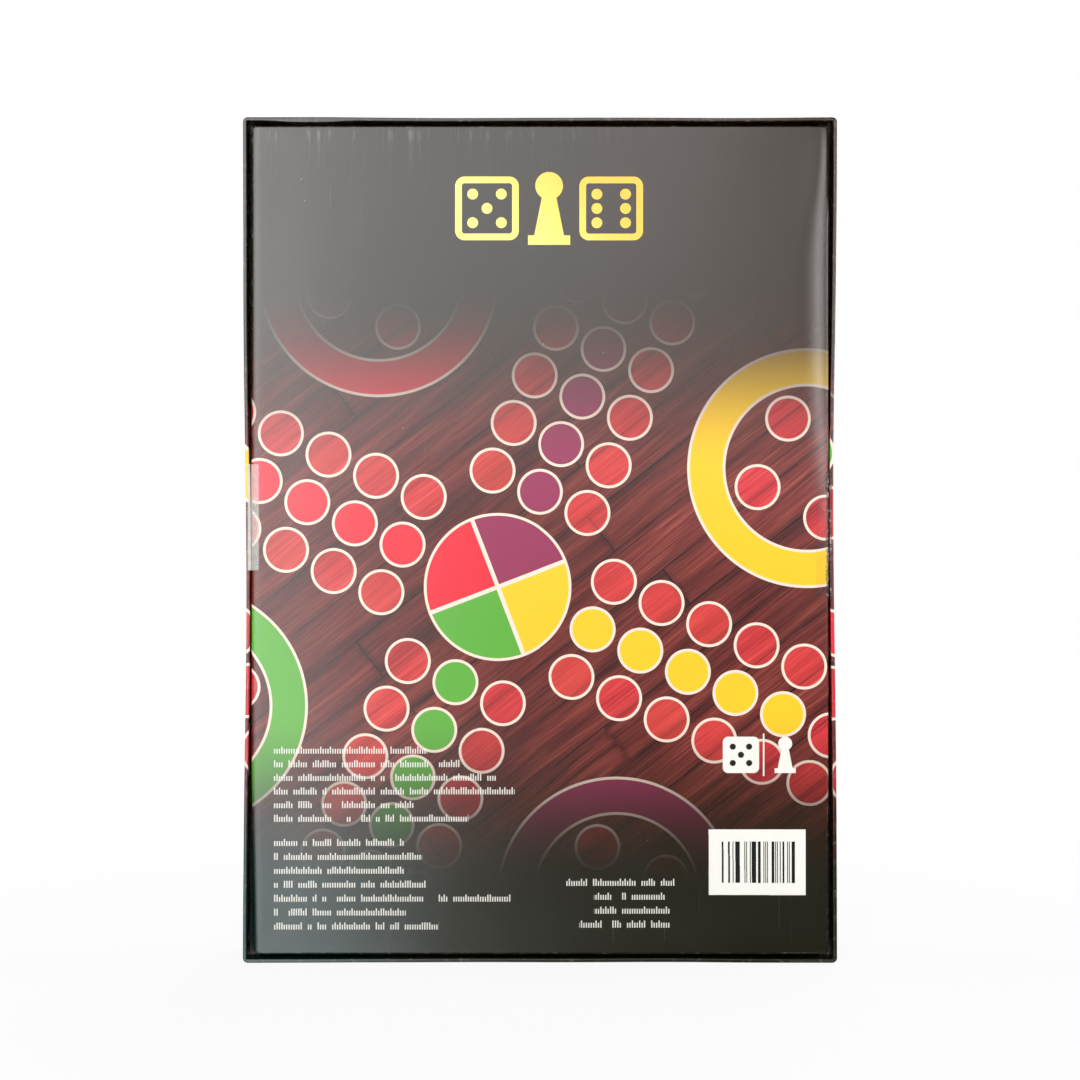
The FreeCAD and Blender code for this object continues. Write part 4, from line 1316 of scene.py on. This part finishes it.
for side, seal in SEALS.items():
    way, curl = seal["way"], seal["curl"]
    film = clear_film(f"seal_{side}_film", **seal["look"])
    lid_half, tray_half = f"seal_{side}_lid_half", f"seal_{side}_tray_half"
    low, high = place_of(lid_half)
    wall_x, rim_y = lid_high[0] + FILM_LIFT, lid_low[1] - FILM_LIFT
    inner_x = lid_high[0] - LID_WALL - seal["over_seam"]
    corners = [(wall_x, high[1]), (wall_x, rim_y), (inner_x, rim_y)]
    over_rim = bent_path(corners, LID_WALL / 2 + FILM_LIFT, 8)
    runs = np.linspace(0, 1, FILM_WALL_RUNS + 1)[:-1, None]
    over_rim = np.concatenate([over_rim[0] * (1 - runs) + over_rim[1] * runs, over_rim[1:]])
    over_rim = (over_rim * (way, 1))[::way]
    bend = follow_wall(way)
    wall_film = strip(
        lid_half + "_film", over_rim, FILM_THICK, low[2], high[2], FILM_STEPS, [film], crinkle, bend
    )
    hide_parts(lid_half)
    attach(wall_film, "lid")

    low, high = place_of(tray_half)
    seam_x, panel_end = tray_high[0] + FILM_OVERHANG, min(abs(low[0]), abs(high[0]))
    panel_x = np.linspace(seam_x, panel_end, FILM_PANEL_STEPS + 1)
    on_panel = np.stack([panel_x, np.full_like(panel_x, tray_low[1] - FILM_LIFT)], -1)
    on_panel = (on_panel * (way, 1))[::way]
    lift = slit_edge(way, seam_x - curl, curl)
    panel_film = strip(
        tray_half + "_film", on_panel, FILM_THICK, low[2], high[2], FILM_STEPS, [film], lift, settle_tray
    )
    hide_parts(tray_half)
    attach(panel_film, "tray")

# Floor, light and camera
# A white floor under a white sky. The film of the box mirrors a tall and a wide soft box as a haze, a slim
# one catches the panel's sprung edge, and three more light the lid. The camera looks straight at the back.
scene = bpy.context.scene
scene.view_settings.view_transform = "Standard"
FLOOR_REACH = 6.0
FLOOR_FADE = (150.0, 420.0)
FRAME_HEIGHT = 0.3562
LENS, SENSOR = 85.0, 36.0
ROOM_LIGHT, ROOM_MIRRORED = 0.32, 0.04


def white_floor():
    finish = Finish("floor_white")
    seen = finish.add("ShaderNodeLightPath", {}, {}, "Is Camera Ray")
    x, y, _ = finish.place()
    away = x.reach(y).rise(*FLOOR_FADE)
    glow = finish.add("ShaderNodeEmission", {}, {"Color": (1, 1, 1, 1), "Strength": 1.0})
    matt = finish.add("ShaderNodeBsdfDiffuse", {}, {"Color": (0.86, 0.86, 0.86, 1)})
    blend = finish.add("ShaderNodeMixShader", {}, {0: seen * (0.9 + away * 0.1), 1: matt, 2: glow})
    finish.plug(finish.tree.nodes["Material Output"].inputs["Surface"], blend)
    finish.tree.nodes.remove(finish.shader)
    return finish.material


floor_mesh = bpy.data.meshes.new("floor")
floor_corners = [(-1, -1), (1, -1), (1, 1), (-1, 1)]
floor_mesh.from_pydata([(FLOOR_REACH * x, FLOOR_REACH * y, 0) for x, y in floor_corners], [], [(0, 1, 2, 3)])
floor_mesh.materials.append(white_floor())
floor = bpy.data.objects.new("floor", floor_mesh)
scene.collection.objects.link(floor)
# The tall soft box reaches below the floor, which therefore lets its light and its reflection through.
floor.visible_shadow = False
floor.visible_glossy = False


class Sky(Finish):
    """The world round the object, worked out with the same nodes as a finish."""

    def __init__(self, name):
        self.world = bpy.data.worlds.new(name)
        self.world.use_nodes = True
        self.tree = self.world.node_tree
        self.shader = self.tree.nodes["Background"]


sky = Sky("white_sky")
scene.world = sky.world
ray_kinds = ("Is Camera Ray", "Is Transmission Ray", "Is Glossy Ray")
by_camera, through, mirrored = (sky.add("ShaderNodeLightPath", {}, {}, kind) for kind in ray_kinds)
heading = sky.add("ShaderNodeTexCoord", {}, {}, "Generated")
behind_box = sky.add("ShaderNodeSeparateXYZ", {}, {0: heading}, 1).rise(-0.3, 0.3)
overhead = sky.add("ShaderNodeSeparateXYZ", {}, {0: heading}, 2).rise(-0.45, 0.25)
reflected = mirrored * (ROOM_MIRRORED + behind_box * (0.2 + overhead * 0.8) * (1 - ROOM_MIRRORED))
scattered = (1 - mirrored) * ROOM_LIGHT
sky.surface({"Color": (1, 1, 1, 1), "Strength": by_camera.most(through).most(reflected).most(scattered)})


def soft_lamp(name, place, size, power, lean=0.0):
    """A rectangular soft box that faces the middle of the object, its long side leaning over by an angle."""
    lamp = bpy.data.lights.new(name, "AREA")
    lamp.shape = "RECTANGLE"
    lamp.size, lamp.size_y = size
    lamp.energy = power
    holder = bpy.data.objects.new(name, lamp)
    facing = (Vector((0, 0, middle_height)) - Vector(place)).to_track_quat("-Z", "Y")
    holder.matrix_world = (
        Matrix.Translation(place) @ facing.to_matrix().to_4x4() @ Matrix.Rotation(math.radians(-lean), 4, "Z")
    )
    scene.collection.objects.link(holder)


middle_height = (cad_low.z + cad_high.z) / 2
soft_lamp("side_lamp", (-0.32, -1.25, 0.135), (0.26, 1.2), 6.1, -7)
soft_lamp("high_lamp", (-0.09, -1.25, 0.61), (0.6, 0.8), 5.8)
soft_lamp("edge_lamp", (0.43, -1.20, 0.33), (0.1, 0.36), 1.9)
soft_lamp("back_lamp", (0.34, 1.45, 0.66), (0.8, 0.9), 16)
soft_lamp("right_lamp", (1.5, 0.3, 0.7), (0.9, 0.9), 9)
soft_lamp("left_lamp", (-1.5, 0.3, 0.7), (0.9, 0.9), 9)

camera = bpy.data.objects.new("camera", bpy.data.cameras.new("camera"))
camera.data.lens = LENS
camera.data.sensor_width = SENSOR
camera.location = (0, lid_low[1] * MM - FRAME_HEIGHT * LENS / SENSOR, middle_height)
camera.rotation_euler = (math.pi / 2, 0, 0)
scene.collection.objects.link(camera)
scene.camera = camera

bpy.context.view_layer.update()
